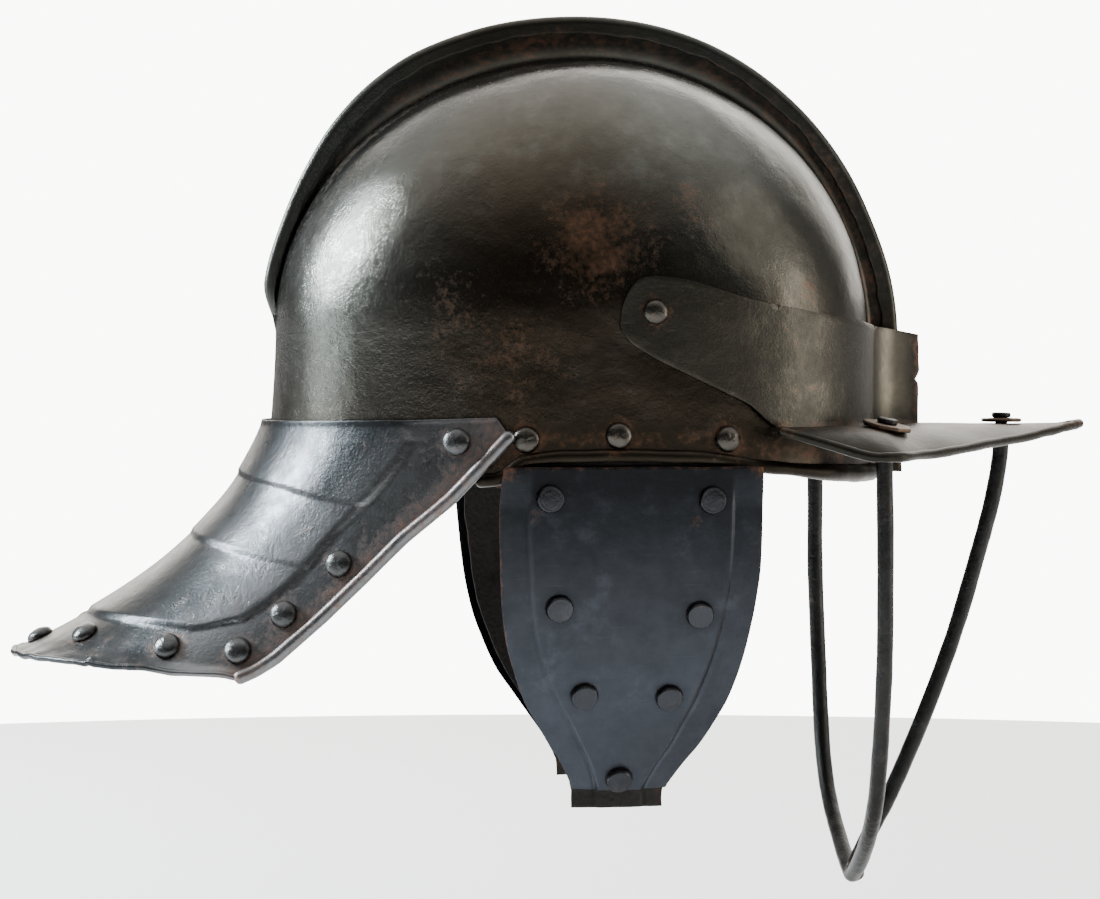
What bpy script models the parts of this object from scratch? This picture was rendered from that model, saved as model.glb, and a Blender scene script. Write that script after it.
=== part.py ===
"""Lobster-tailed pot helmet: a comb-ridged skull in two halves, a flared neck guard, a pivoted peak with a
three-bar face guard, and two cheek plates hung on leather.

The front is +X, the wearer's left +Y and up +Z. The origin is the crown of the skull on the mid-plane.
Sizes are in metres.
"""
import math

import bmesh
import bpy
from mathutils import Matrix, Vector

# Plates, leather and the gap kept between pieces that touch
SHEET = 0.0014
LEATHER = 0.0024
GAP = 0.0003

# Skull: half lengths from the side pole, height of the crown above the pole, half width
POLE_X = 0.002
SKULL_FRONT = 0.0995
SKULL_BACK = 0.1105
SKULL_HEIGHT = 0.096
SKULL_HALF_WIDTH = 0.088
FULLNESS = 2.2
FRONT_FLARE = 0.0015
BACK_FLARE = 0.0035
RIM_DROP = 0.0503
RIM_ROLL = 0.0022

# Comb along the mid-plane, with the left half's edge turned over the right half's
COMB_HEIGHT = 0.0165
COMB_FLANK = 0.016
HEM_DEPTH = 0.0062
HEM_END = 0.985
FLANK_NEAR = 0.45
FLANK_FAR = 0.2

# Neck guard
TAIL_LENGTH = 0.0884
TAIL_DROP = 0.0806
TAIL_TOP = 0.0313
TAIL_SPREAD = 0.0031
TAIL_ROOM = 0.0004
TAIL_SIDE_REACH = 0.0894
TAIL_SIDE_DROP = 0.0808
TAIL_CORNER_X = 0.0343
TAIL_CORNER_DROP = 0.0355
TAIL_ROLL = 0.0023

# Peak: pivot, band, keel over the comb, and brim
PIVOT_X = 0.0144
PIVOT_RISE = 0.0059
BAND_ROOM = 0.0015
BAND_HEIGHT = 0.0412
BAND_TOP_RISE = 0.0085
BAND_TOP_FALL = 0.0094
ARM_REACH = 0.0552
ARM_RISE = 0.0095
ARM_START = 0.0006
KEEL_REACH = 0.0078
KEEL_FLANK = 0.020
BRIM_LENGTH = 0.1248
BRIM_HALF_WIDTH = 0.092
BRIM_DROOP = 0.0092
BRIM_ROLL = 0.0016

# Face bars
BAR_RADIUS = 0.0029
BAR_SHOULDER = 0.0013
TENON_RADIUS = 0.0022
BAR_HEAD_RADIUS = 0.0036
BAR_HEAD_HEIGHT = 0.0018
BARS_DROP = 0.1592
FOOT_FORWARD = 0.0015
WASHER_THICKNESS = 0.0016
WASHER_CHAMFER = 0.0007
SIDE_WASHER_RADIUS = 0.0088
CENTRE_WASHER_RADIUS = 0.0073

# Cheek pieces
CHEEK_X = 0.0075
CHEEK_HALF_WIDTH = 0.0448
CHEEK_LENGTH = 0.1122
CHEEK_TOP_GAP = 0.0010
CHEEK_TUCK = 0.0356
CHEEK_STAND_OFF = 0.0001
CHEEK_TURN = 0.035
CHEEK_HUNG = 0.0150
CHEEK_TAB = 0.0062
LINING_INSET = 0.003
LEFT_CHEEK_SWING = math.radians(3.0)

# Rivets
SHANK_RADIUS = 0.0017
SKULL_RIVET_RADIUS = 0.0043
TAIL_RIVET_RADIUS = 0.0047
CHEEK_RIVET_RADIUS = 0.0048
PIVOT_RIVET_RADIUS = 0.0040
SKULL_RIVET_HEIGHT = 0.0030
TAIL_RIVET_HEIGHT = 0.0032
CHEEK_RIVET_HEIGHT = 0.0024
PIVOT_RIVET_HEIGHT = 0.0026
CLENCH_RADIUS = 0.0027
CLENCH_HEIGHT = 0.0008
HOLE_ROOM = 0.0003
CUT_DEPTH = 0.0112
ROUND_SIDES = 8
# Distance within which doubled points of a mesh are joined
MERGE = 0.00001
# Rivet heads from the top down: share of the radius, share of the height
DOMED_HEAD = ((0.0, 1.0), (0.52, 0.86), (0.87, 0.48))
FLAT_HEAD = ((0.0, 1.0), (0.80, 1.0), (1.0, 0.62))

# Comb height along the crown: share of the way from front to back, share of the comb's height
COMB_LINE = (
    (0.00, 0.83), (0.055, 0.79), (0.12, 0.74), (0.17, 0.77), (0.25, 0.84), (0.39, 0.96), (0.50, 0.99),
    (0.61, 1.03), (0.67, 1.03), (0.72, 0.96), (0.78, 0.78), (0.84, 0.55), (0.90, 0.40), (0.95, 0.36),
    (0.985, 0.22), (1.00, 0.146),
)
# Rim line: share of the skull's half length (behind the pole negative), share of the rim's drop
RIM_LINE = (
    (-1.05, 0.92), (-0.479, 1.01), (-0.354, 0.998), (-0.265, 0.865), (-0.14, 0.839), (0.11, 0.841),
    (0.28, 0.847), (0.42, 0.883), (0.50, 0.918), (0.65, 0.944), (0.86, 0.978), (1.15, 1.00),
)
# Ends of the rolled rim as shares of the skull's half length, and how far a roll stands out of its sheet
RIM_ROLL_ENDS = (-0.34, 0.985)
ROLL_OUT = 0.2
# Neck guard's side edge: row share, share of the reach back, share of the drop
TAIL_SIDE = (
    (0.00, 0.047, -0.077), (0.10, 0.00, 0.00), (0.30, 0.219, 0.259), (0.45, 0.395, 0.4245),
    (0.60, 0.5425, 0.590), (0.75, 0.696, 0.755), (0.90, 0.867, 0.920), (0.95, 0.944, 0.974), (1.0, 1.0, 1.0),
)
# Neck guard's half width over the skull's: row share, share of the spread
TAIL_WIDTH = ((0.0, 0.0), (0.3, 1.0), (0.65, 0.84), (1.0, 0.42))
# Neck guard's middle line: controls as shares of its length and drop
TAIL_CURVE = ((0.0, 0.0), (0.10, 0.33), (0.33, 0.66), (1.0, 1.0))
TAIL_EDGE_POWER = 2.5
TAIL_ROWS = (0.0, 0.10, 0.20, 0.30, 0.43, 0.555, 0.66, 0.75, 0.82, 0.895, 0.95, 1.0)
TAIL_COLUMNS = (0.0, 0.14, 0.28, 0.42, 0.56, 0.70, 0.80, 0.90, 1.0)
# Peak's arm: share of the arm's reach, top and bottom edge as shares of the band's height below its line
ARM_LINE = (
    (0.00, 0.399, 0.399), (0.02, 0.220, 0.458), (0.072, 0.067, 0.531), (0.14, -0.017, 0.576),
    (0.245, -0.055, 0.633), (0.41, -0.065, 0.698), (0.64, -0.031, 0.787), (0.82, -0.004, 0.862),
    (0.93, 0.00, 0.958),
)
# Peak's front: share of the front between arm and keel, brim edge's share of length and half width, droop.
# The first row is the rear corner, with its half width as a share of the way out from the band
BRIM_LINE = (
    (0.00, 0.00, 0.57, 0.05), (0.13, 0.14, 0.975, 0.60), (0.30, 0.25, 1.00, 1.00), (0.52, 0.31, 0.985, 1.00),
    (0.72, 0.415, 0.815, 0.95), (0.88, 0.54, 0.645, 0.80), (1.00, 0.676, 0.435, 0.60), (1.25, 0.80, 0.27, 0.40),
    (1.50, 0.89, 0.15, 0.22), (1.75, 0.96, 0.06, 0.08), (2.00, 1.00, 0.00, 0.00),
)
BRIM_ROWS = (0.12, 0.40, 0.70, 1.0)
# Bends of the keel's flank: share of its reach, half width as a share of the room the comb needs
KEEL_NEAR = (0.10, 1.75)
KEEL_FAR = (0.15, 1.45)
DROOP_POWER = 3.2
# Bar holes in the brim: row of the table above and share outward, and the centre one's share outward
SIDE_HOLE = (3.5, 0.50)
CENTRE_HOLE = 0.515
# Side bars from the brim down: share of the drop, share of the spread
SIDE_BAR = (
    (0.25, 1.00), (0.44, 0.97), (0.56, 0.925), (0.67, 0.86), (0.765, 0.77), (0.84, 0.63), (0.895, 0.47),
    (0.95, 0.26), (0.985, 0.10), (1.00, 0.00),
)
# Centre bar from the brim down: share of the drop, share of the way from the U's foot to the brim hole
CENTRE_BAR = (
    (0.07, 0.987), (0.17, 0.934), (0.30, 0.828), (0.485, 0.66), (0.665, 0.462), (0.825, 0.255),
    (0.895, 0.145), (0.985, 0.015),
)
# Cheek plate: share of its length down, left and right edges as shares of its half width, tuck share
CHEEK_LINE = (
    (0.00, -0.98, 0.98, 0.00), (0.07, -1.00, 0.985, 0.00), (0.16, -1.01, 0.985, 0.01),
    (0.29, -1.00, 0.98, 0.05), (0.40, -0.985, 0.955, 0.12), (0.52, -0.945, 0.91, 0.235),
    (0.62, -0.875, 0.855, 0.34), (0.72, -0.78, 0.775, 0.47), (0.79, -0.675, 0.69, 0.585),
    (0.86, -0.565, 0.595, 0.72), (0.93, -0.455, 0.47, 0.86), (1.00, -0.37, 0.36, 1.00),
)
# Leather inside the skull: share of its height there, edges as shares of the plate's half width
TONGUE_LINE = ((1.0, -0.86, 0.80), (0.7, -0.90, 0.86), (0.4, -0.92, 0.89), (0.2, -0.92, 0.905))
# Where the leather passes from behind the plate to inside the rim, as shares of the plate's length down
TUCK_START = 0.085
TUCK_END = 0.045
# Cheek rivets: share across from the middle, share down
CHEEK_RIVETS = (
    (-0.634, 0.094), (0.592, 0.10), (-0.551, 0.422), (0.516, 0.444), (-0.335, 0.692), (0.315, 0.70),
    (-0.018, 0.962),
)
# Skull rivets: share of the skull's half length, drop below the pole as a share of the rim's
SKULL_RIVETS = ((-0.276, 0.73), (0.003, 0.704), (0.380, 0.728))
# Neck guard's rivets: row share, share of the way from the middle to the side
TAIL_RIVETS = ((0.11, 0.885), (0.555, 0.90), (0.75, 0.90), (0.89, 0.90), (0.905, 0.71), (0.90, 0.34))
TAIL_CENTRE_RIVET = (0.945, 0.0)

POLE = Vector((POLE_X, 0.0, -SKULL_HEIGHT))
SEAM = 1.5 * GAP
FLANGE = SEAM / 2 + SHEET
HEM_RADIUS = FLANGE + GAP / 2 + SHEET / 2
SIDES = {"right": -1.0, "left": 1.0}


def look_up(table, share, column=1):
    """Read a table between its rows."""
    if share <= table[0][0]:
        return table[0][column]
    for low, high in zip(table, table[1:]):
        if share <= high[0]:
            part = (share - low[0]) / (high[0] - low[0])
            return low[column] + (high[column] - low[column]) * part
    return table[-1][column]


def blend(a, b, share):
    return a + (b - a) * share


def bezier(a, b, c, d, t):
    """Point on a cubic curve."""
    s = 1 - t
    return tuple(s ** 3 * p + 3 * s * s * t * q + 3 * s * t * t * r + t ** 3 * u for p, q, r, u in zip(a, b, c, d))


def round_width(reach, radius, width):
    """Half width of a superellipse at a reach from its middle."""
    share = min(abs(reach) / radius, 1.0)
    return width * (1 - share ** FULLNESS) ** (1 / FULLNESS)


def round_reach(width, radius, full_width):
    """Reach at which a superellipse has the given half width."""
    return radius * (1 - (width / full_width) ** FULLNESS) ** (1 / FULLNESS)


def clear_objects():
    for thing in list(bpy.data.objects):
        bpy.data.objects.remove(thing, do_unlink=True)


def new_collection(name):
    collection = bpy.data.collections.new(name)
    bpy.context.scene.collection.children.link(collection)
    return collection


def material(name, colour, roughness, metallic):
    made = bpy.data.materials.new(name)
    made.use_nodes = True
    shader = made.node_tree.nodes["Principled BSDF"]
    shader.inputs["Base Color"].default_value = (*colour, 1.0)
    shader.inputs["Roughness"].default_value = roughness
    shader.inputs["Metallic"].default_value = metallic
    return made


def new_object(name, mesh, collection, finish=None):
    thing = bpy.data.objects.new(name, mesh)
    collection.objects.link(thing)
    if finish:
        mesh.materials.clear()
        mesh.materials.append(finish)
    return thing


def make_cutter(thing):
    thing.hide_render = True
    thing.display_type = "WIRE"
    return thing


def surface(name, grids, outward):
    """Mesh of quads over grids of points, with its faces turned the way outward(point) points."""
    bm = bmesh.new()
    for grid in grids:
        rows = [[bm.verts.new(p) if p is not None else None for p in row] for row in grid]
        for low, high in zip(rows, rows[1:]):
            for a, b, c, d in zip(low, low[1:], high[1:], high):
                if None not in (a, b, c, d):
                    bm.faces.new((a, b, c, d))
    bmesh.ops.remove_doubles(bm, verts=bm.verts, dist=MERGE / 2)
    bmesh.ops.recalc_face_normals(bm, faces=bm.faces)
    bm.normal_update()
    score = sum(face.normal.dot(outward(face.calc_center_median())) * face.calc_area() for face in bm.faces)
    if score < 0:
        bmesh.ops.reverse_faces(bm, faces=bm.faces)
    mesh = bpy.data.meshes.new(name)
    bm.to_mesh(mesh)
    bm.free()
    mesh.shade_smooth()
    mesh.set_sharp_from_angle(angle=math.radians(40))
    return mesh


def thicken(thing, thickness):
    solid = thing.modifiers.new("thickness", "SOLIDIFY")
    solid.thickness = thickness
    solid.offset = -1
    solid.use_even_offset = True


def combine(thing, other, operation, folded=False):
    """Boolean with another closed mesh; folded is for a plate that is turned over on itself."""
    boolean = thing.modifiers.new(other.name, "BOOLEAN")
    boolean.operation = operation
    boolean.object = other
    boolean.solver = "EXACT"
    boolean.use_self = folded


def tube_mesh(name, points, radius, collection, resolution=1):
    """Closed tube along points, as a mesh object."""
    curve = bpy.data.curves.new(name, "CURVE")
    curve.dimensions = "3D"
    curve.bevel_depth = radius
    curve.bevel_resolution = resolution
    curve.use_fill_caps = True
    spline = curve.splines.new("POLY")
    spline.points.add(len(points) - 1)
    for spot, point in zip(spline.points, points):
        spot.co = (*point, 1.0)
    drawn = bpy.data.objects.new(name + "_path", curve)
    collection.objects.link(drawn)
    graph = bpy.context.evaluated_depsgraph_get()
    mesh = bpy.data.meshes.new_from_object(drawn.evaluated_get(graph))
    bm = bmesh.new()
    bm.from_mesh(mesh)
    bmesh.ops.remove_doubles(bm, verts=bm.verts, dist=MERGE)
    bmesh.ops.recalc_face_normals(bm, faces=bm.faces)
    bm.to_mesh(mesh)
    bm.free()
    thing = new_object(name, mesh, collection)
    thing.matrix_world = drawn.matrix_world
    bpy.data.objects.remove(drawn)
    return thing


def frame_at(point, normal):
    """Placement at a point with local Z along the normal."""
    turn = Vector((0, 0, 1)).rotation_difference(normal)
    return Matrix.Translation(point) @ turn.to_matrix().to_4x4()


def hole_cutters(name, places, radius, collection):
    """One cutter mesh with a short cylinder at every place."""
    bm = bmesh.new()
    for point, normal in places:
        bmesh.ops.create_cone(bm, cap_ends=True, segments=ROUND_SIDES, radius1=radius, radius2=radius,
                              depth=CUT_DEPTH, matrix=frame_at(point, normal))
    mesh = bpy.data.meshes.new(name)
    bm.to_mesh(mesh)
    bm.free()
    return make_cutter(new_object(name, mesh, collection))


def turned_mesh(name, profile, closed=False):
    """Open or closed profile of (radius, height), top to bottom, ready for a Screw modifier."""
    mesh = bpy.data.meshes.new(name)
    count = len(profile)
    edges = [(i, i + 1) for i in range(count - 1)]
    if closed:
        edges.append((count - 1, 0))
    mesh.from_pydata([(r, 0.0, z) for r, z in profile], edges, [])
    return mesh


def turn_round(thing, steps):
    screw = thing.modifiers.new("turn", "SCREW")
    screw.steps = steps
    screw.render_steps = steps
    screw.use_merge_vertices = True
    screw.merge_threshold = MERGE
    screw.use_smooth_shade = True


# Skull shape

def dome_radius(angle):
    length = SKULL_FRONT if angle < math.pi / 2 else SKULL_BACK
    return 1 / math.hypot(math.cos(angle) / length, math.sin(angle) / SKULL_HEIGHT)


def section(radius, half_width, flank, rise, edge, dome_steps=8, flank_steps=4):
    """Points (reach, half width) from the side pole over the dome and up a flank to a ridge's edge."""
    points = []
    turn = math.acos((flank / half_width) ** (FULLNESS / 2))
    for step in range(dome_steps + 1):
        part = turn * step / dome_steps
        points.append((radius * math.sin(part) ** (2 / FULLNESS), half_width * math.cos(part) ** (2 / FULLNESS)))
    foot = points[-1]
    straight = flange_height(rise)
    near = (round_reach(flank * FLANK_NEAR, radius, half_width), flank * FLANK_NEAR)
    far = (radius + (rise - straight) * FLANK_FAR, edge)
    foot_of_flange = (radius + rise - straight, edge)
    points += [bezier(foot, near, far, foot_of_flange, step / flank_steps) for step in range(1, flank_steps + 1)]
    return points + [(radius + rise, edge)]


def flange_height(rise):
    """Straight stretch at the comb's top, which the turned-over edge grips."""
    return min(HEM_DEPTH - HEM_RADIUS + GAP, rise * 0.5)


def comb_rise(angle):
    return look_up(COMB_LINE, angle / math.pi) * COMB_HEIGHT - HEM_RADIUS


def skull_section(angle):
    """Section of a skull half, whose inner face keeps its distance from the mid-plane."""
    rise = max(comb_rise(angle), 0.0)
    edge = FLANGE if rise > GAP else SEAM / 2
    return section(dome_radius(angle), SKULL_HALF_WIDTH, COMB_FLANK, rise, edge)


def hem_section(points, steps=4):
    """Points that turn the flange's edge over the other half's, on to its far side."""
    top, edge = points[-1]
    low = points[-2][0] + GAP
    middle = edge - HEM_RADIUS
    turned = [(top + HEM_RADIUS * math.sin(math.pi * k / steps), middle + HEM_RADIUS * math.cos(math.pi * k / steps))
              for k in range(1, steps + 1)]
    return turned + [(low, edge - 2 * HEM_RADIUS)]


def flared(reach, depth, front):
    """Reach of a skull point below the pole's level, where the wall flares a little."""
    share = max(depth, 0.0) / RIM_DROP
    length, flare = (SKULL_FRONT, FRONT_FLARE) if front else (SKULL_BACK, BACK_FLARE)
    return reach * (1 + flare / length * share ** 1.5)


def rim_depth(x):
    """Drop of the rim below the pole's level."""
    reach = x - POLE_X
    return look_up(RIM_LINE, reach / (SKULL_FRONT if reach > 0 else SKULL_BACK)) * RIM_DROP


def skull_width(x, z):
    """Half width of the skull's outer face at a place on its side."""
    reach, rise = x - POLE_X, z + SKULL_HEIGHT
    if rise > 0:
        return round_width(math.hypot(reach, rise), dome_radius(math.atan2(rise, reach)), SKULL_HALF_WIDTH)
    length = SKULL_FRONT if reach > 0 else SKULL_BACK
    return round_width(reach, flared(length, -rise, reach > 0), SKULL_HALF_WIDTH)


def side_normal(width, x, z, side):
    """Outward normal of a side wall given as a half width over x and z."""
    step = 0.001
    slope_x = (width(x + step, z) - width(x - step, z)) / (2 * step)
    slope_z = (width(x, z + step) - width(x, z - step)) / (2 * step)
    return Vector((-slope_x, side, -slope_z)).normalized()


def side_place(width, x, z, side):
    return Vector((x, side * width(x, z), z)), side_normal(width, x, z, side)


def skull_place(along, down, side):
    """Point and normal on the skull's wall below the pole's level."""
    x = POLE_X + along * (SKULL_FRONT if along > 0 else SKULL_BACK)
    return side_place(skull_width, x, -SKULL_HEIGHT - down * RIM_DROP, side)


def pivot_place(side):
    return Vector((PIVOT_X, side * skull_width(PIVOT_X, -SKULL_HEIGHT + PIVOT_RISE), -SKULL_HEIGHT + PIVOT_RISE)), \
        Vector((0, side, 0))


def skull_half(side, hemmed, parts, cutters, finish, places):
    """One half: dome over the pole's level, wall below it, and its rolled rim."""
    name = "skull_left" if side > 0 else "skull_right"
    shares = [k / 18 for k in range(17)] + [0.95, HEM_END, 1.0]
    upper, hem = [], []
    for share in shares:
        angle = share * math.pi
        points = skull_section(angle)
        place = lambda p: Vector((POLE_X + p[0] * math.cos(angle), side * p[1], p[0] * math.sin(angle) - SKULL_HEIGHT))
        upper.append([place(p) for p in points])
        if hemmed and share <= HEM_END:
            hem.append([upper[-1][-1]] + [place(p) for p in hem_section(points)])
    grids = [upper, hem] if hemmed else [upper]
    for front in (True, False):
        points = skull_section(0.0 if front else math.pi)
        columns = [points] if not (hemmed and front) else [points, points[-1:] + hem_section(points)]
        for column in columns:
            grids.append([lower_column(p, side, front) for p in column])
    mesh = surface(name, grids, lambda p: p - POLE)
    half = new_object(name, mesh, parts, finish)
    thicken(half, SHEET)
    roll = tube_mesh(name + "_roll", rim_path(side), RIM_ROLL, cutters)
    combine(half, make_cutter(roll), "UNION")
    combine(half, seam_cutter(name, side, cutters), "DIFFERENCE", folded=hemmed)
    combine(half, hole_cutters(name + "_holes", places, SHANK_RADIUS + HOLE_ROOM, cutters), "DIFFERENCE")
    return half


def seam_cutter(name, side, cutters):
    """Block past the mid-plane that trims a half's seam below the comb's end."""
    bm = bmesh.new()
    bmesh.ops.create_cube(bm, size=1.0)
    mesh = bpy.data.meshes.new(name + "_seam")
    bm.to_mesh(mesh)
    bm.free()
    cutter = new_object(name + "_seam", mesh, cutters)
    high = dome_radius(math.pi * HEM_END) * math.sin(math.pi * HEM_END) - GAP
    size = Vector((SKULL_BACK, COMB_FLANK, 2 * RIM_DROP))
    cutter.scale = size
    face = SEAM / 2 + GAP / 3
    cutter.location = (POLE_X - SKULL_BACK, side * (face - size.y / 2), high - SKULL_HEIGHT - size.z / 2)
    return make_cutter(cutter)


def lower_column(point, side, front, rows=3):
    """Points from the pole's level down to the rim."""
    reach, width = point
    sign = 1 if front else -1
    depth = rim_depth(POLE_X + sign * reach)
    return [Vector((POLE_X + sign * flared(reach, depth * k / rows, front), side * width,
                    -SKULL_HEIGHT - depth * k / rows)) for k in range(rows + 1)]


def rim_path(side):
    """Centre line of the rolled rim, from under the neck guard to the comb."""
    points = []
    steps = 18
    for k in range(steps + 1):
        share = math.sin(blend(math.asin(RIM_ROLL_ENDS[0]), math.asin(RIM_ROLL_ENDS[1]), k / steps))
        reach = share * (SKULL_FRONT if share > 0 else SKULL_BACK)
        x = POLE_X + reach
        depth = rim_depth(x)
        wall = side_place(skull_width, POLE_X + flared(reach, depth, reach > 0), -SKULL_HEIGHT - depth, side)
        points.append(wall[0] + wall[1] * (RIM_ROLL * ROLL_OUT))
    return points


# Neck guard shape

def tail_point(row, share, side):
    """Point of the neck guard: row from the top edge down, share from the middle to the side."""
    along = bezier(*TAIL_CURVE, row)
    top_reach = flared(SKULL_BACK, TAIL_TOP, False) + GAP + TAIL_ROOM + SHEET
    length = top_reach + along[0] * TAIL_LENGTH
    width = SKULL_HALF_WIDTH + GAP + SHEET + look_up(TAIL_WIDTH, row) * TAIL_SPREAD
    side_x = -TAIL_CORNER_X - look_up(TAIL_SIDE, row) * TAIL_SIDE_REACH
    side_z = -SKULL_HEIGHT - TAIL_CORNER_DROP - look_up(TAIL_SIDE, row, 2) * TAIL_SIDE_DROP
    centre_z = -SKULL_HEIGHT - TAIL_TOP - along[1] * TAIL_DROP
    end = math.acos(min(1.0, (POLE_X - side_x) / length) ** (FULLNESS / 2))
    turn = end * share
    return Vector((POLE_X - length * math.cos(turn) ** (2 / FULLNESS),
                   side * width * math.sin(turn) ** (2 / FULLNESS),
                   blend(centre_z, side_z, share ** TAIL_EDGE_POWER)))


def tail_place(row, share, side):
    """Point and outward normal on the neck guard."""
    step = 0.01
    point = tail_point(row, share, side)
    along = tail_point(row + step, share, side) - tail_point(row - step, share, side)
    across = tail_point(row, share + step, side) - tail_point(row, share - step if share else share, side)
    normal = across.cross(along).normalized() * side
    return point, -normal if normal.x > 0 and share < 0.2 or normal.y * side < 0 else normal


def neck_joint_grip():
    """From the neck guard's outer face to the skull's inner face, along the rivet that joins them."""
    point, normal = tail_place(*TAIL_RIVETS[0], 1.0)
    return (point.y - skull_width(point.x, point.z)) * normal.y + SHEET + 3 * GAP


def neck_guard(parts, cutters, finish, places):
    rows = [[tail_point(row, share, 1.0) for share in TAIL_COLUMNS] for row in TAIL_ROWS]
    mesh = surface("neck_guard", [rows], lambda p: Vector((p.x - POLE_X, p.y, 0)))
    guard = new_object("neck_guard", mesh, parts, finish)
    mirror = guard.modifiers.new("both_sides", "MIRROR")
    mirror.use_axis = (False, True, False)
    mirror.merge_threshold = MERGE
    thicken(guard, SHEET)
    for name, side in SIDES.items():
        path = []
        for k in range(13):
            point, normal = tail_place(0.10 + 0.90 * k / 12, 1.0, side)
            path.append(point + normal * (TAIL_ROLL * ROLL_OUT))
        roll = tube_mesh("neck_roll_" + name, path, TAIL_ROLL, cutters)
        combine(guard, make_cutter(roll), "UNION")
    combine(guard, hole_cutters("neck_holes", places, SHANK_RADIUS + HOLE_ROOM, cutters), "DIFFERENCE")
    return guard


# Peak shape

BAND_RADIUS = SKULL_FRONT + FRONT_FLARE + BAND_ROOM
BAND_WIDTH = SKULL_HALF_WIDTH + GAP + SHEET


def band_front_section():
    """Plan of the band's front: from the arm's end of the table to the keel, as (x, half width)."""
    comb_top = dome_radius(0.0) + comb_rise(0.0) + HEM_RADIUS
    front = comb_top + KEEL_REACH
    foot_reach = round_reach(KEEL_FLANK, BAND_RADIUS, BAND_WIDTH)
    clear = FLANGE + GAP + SHEET + SHEET + BAND_ROOM
    near = (foot_reach + KEEL_FLANK * KEEL_NEAR[0], clear * KEEL_NEAR[1])
    far = (comb_top + KEEL_REACH * KEEL_FAR[0], clear * KEEL_FAR[1])
    return foot_reach, front, (near, far)


def band_plan(share):
    """Point of the band's plan: 0 to 1 between the arm and the keel's foot, 1 to 2 on the keel's flank."""
    foot_reach, front, (near, far) = band_front_section()
    if share <= 1:
        start = ARM_START + ARM_REACH
        turn = blend(math.asin(start / BAND_RADIUS), math.asin(foot_reach / BAND_RADIUS), share)
        reach = BAND_RADIUS * math.sin(turn)
        return POLE_X + reach, round_width(reach, BAND_RADIUS, BAND_WIDTH)
    point = bezier((foot_reach, KEEL_FLANK), near, far, (front, 0.0), share - 1)
    return POLE_X + point[0], point[1]


def band_heights(x):
    """Top and bottom of the band's front at a place along the helmet."""
    start = POLE_X + ARM_START + ARM_REACH
    share = (x - start) / (POLE_X + band_front_section()[1] - start)
    line = -SKULL_HEIGHT + BAND_TOP_RISE
    return line - BAND_TOP_FALL * share, line - BAND_HEIGHT


def brim_edge_width(row):
    """Half width of the brim's edge at a row of BRIM_LINE."""
    share = BRIM_LINE[row][2]
    return blend(band_plan(0.0)[1], BRIM_HALF_WIDTH, share) if row == 0 else share * BRIM_HALF_WIDTH


def brim_point(row, out):
    """Point of the brim on the left side: row of BRIM_LINE (may be between rows), share outward."""
    low = min(int(row), len(BRIM_LINE) - 2)
    part = row - low
    share, along, _, droop = (blend(a, b, part) for a, b in zip(BRIM_LINE[low], BRIM_LINE[low + 1]))
    x, y = band_plan(share)
    bottom = band_heights(x)[1]
    corner = POLE_X + ARM_START + ARM_REACH
    edge = (corner + along * BRIM_LENGTH, blend(brim_edge_width(low), brim_edge_width(low + 1), part))
    return Vector((blend(x, edge[0], out), blend(y, edge[1], out), bottom - droop * BRIM_DROOP * out ** DROOP_POWER))


def brim_place(row, out, side):
    """Point and upward normal on the brim."""
    point = brim_point(row, out)
    along = brim_point(row + 0.05, out) - brim_point(row - 0.05, out)
    across = brim_point(row, out + 0.02) - brim_point(row, out - 0.02)
    normal = along.cross(across).normalized()
    if normal.z < 0:
        normal = -normal
    point.y *= side
    normal.y *= side
    return point, normal


def washer_places():
    """Where the bars pass the brim: side bars at both sides and the centre bar in the middle."""
    last = len(BRIM_LINE) - 1
    centre = brim_point(last, CENTRE_HOLE)
    slope = brim_point(last, CENTRE_HOLE + 0.04) - brim_point(last, CENTRE_HOLE - 0.04)
    up = Vector((-slope.z, 0, slope.x)).normalized()
    return {"right": brim_place(*SIDE_HOLE, -1.0), "left": brim_place(*SIDE_HOLE, 1.0), "centre": (centre, up)}


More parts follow.
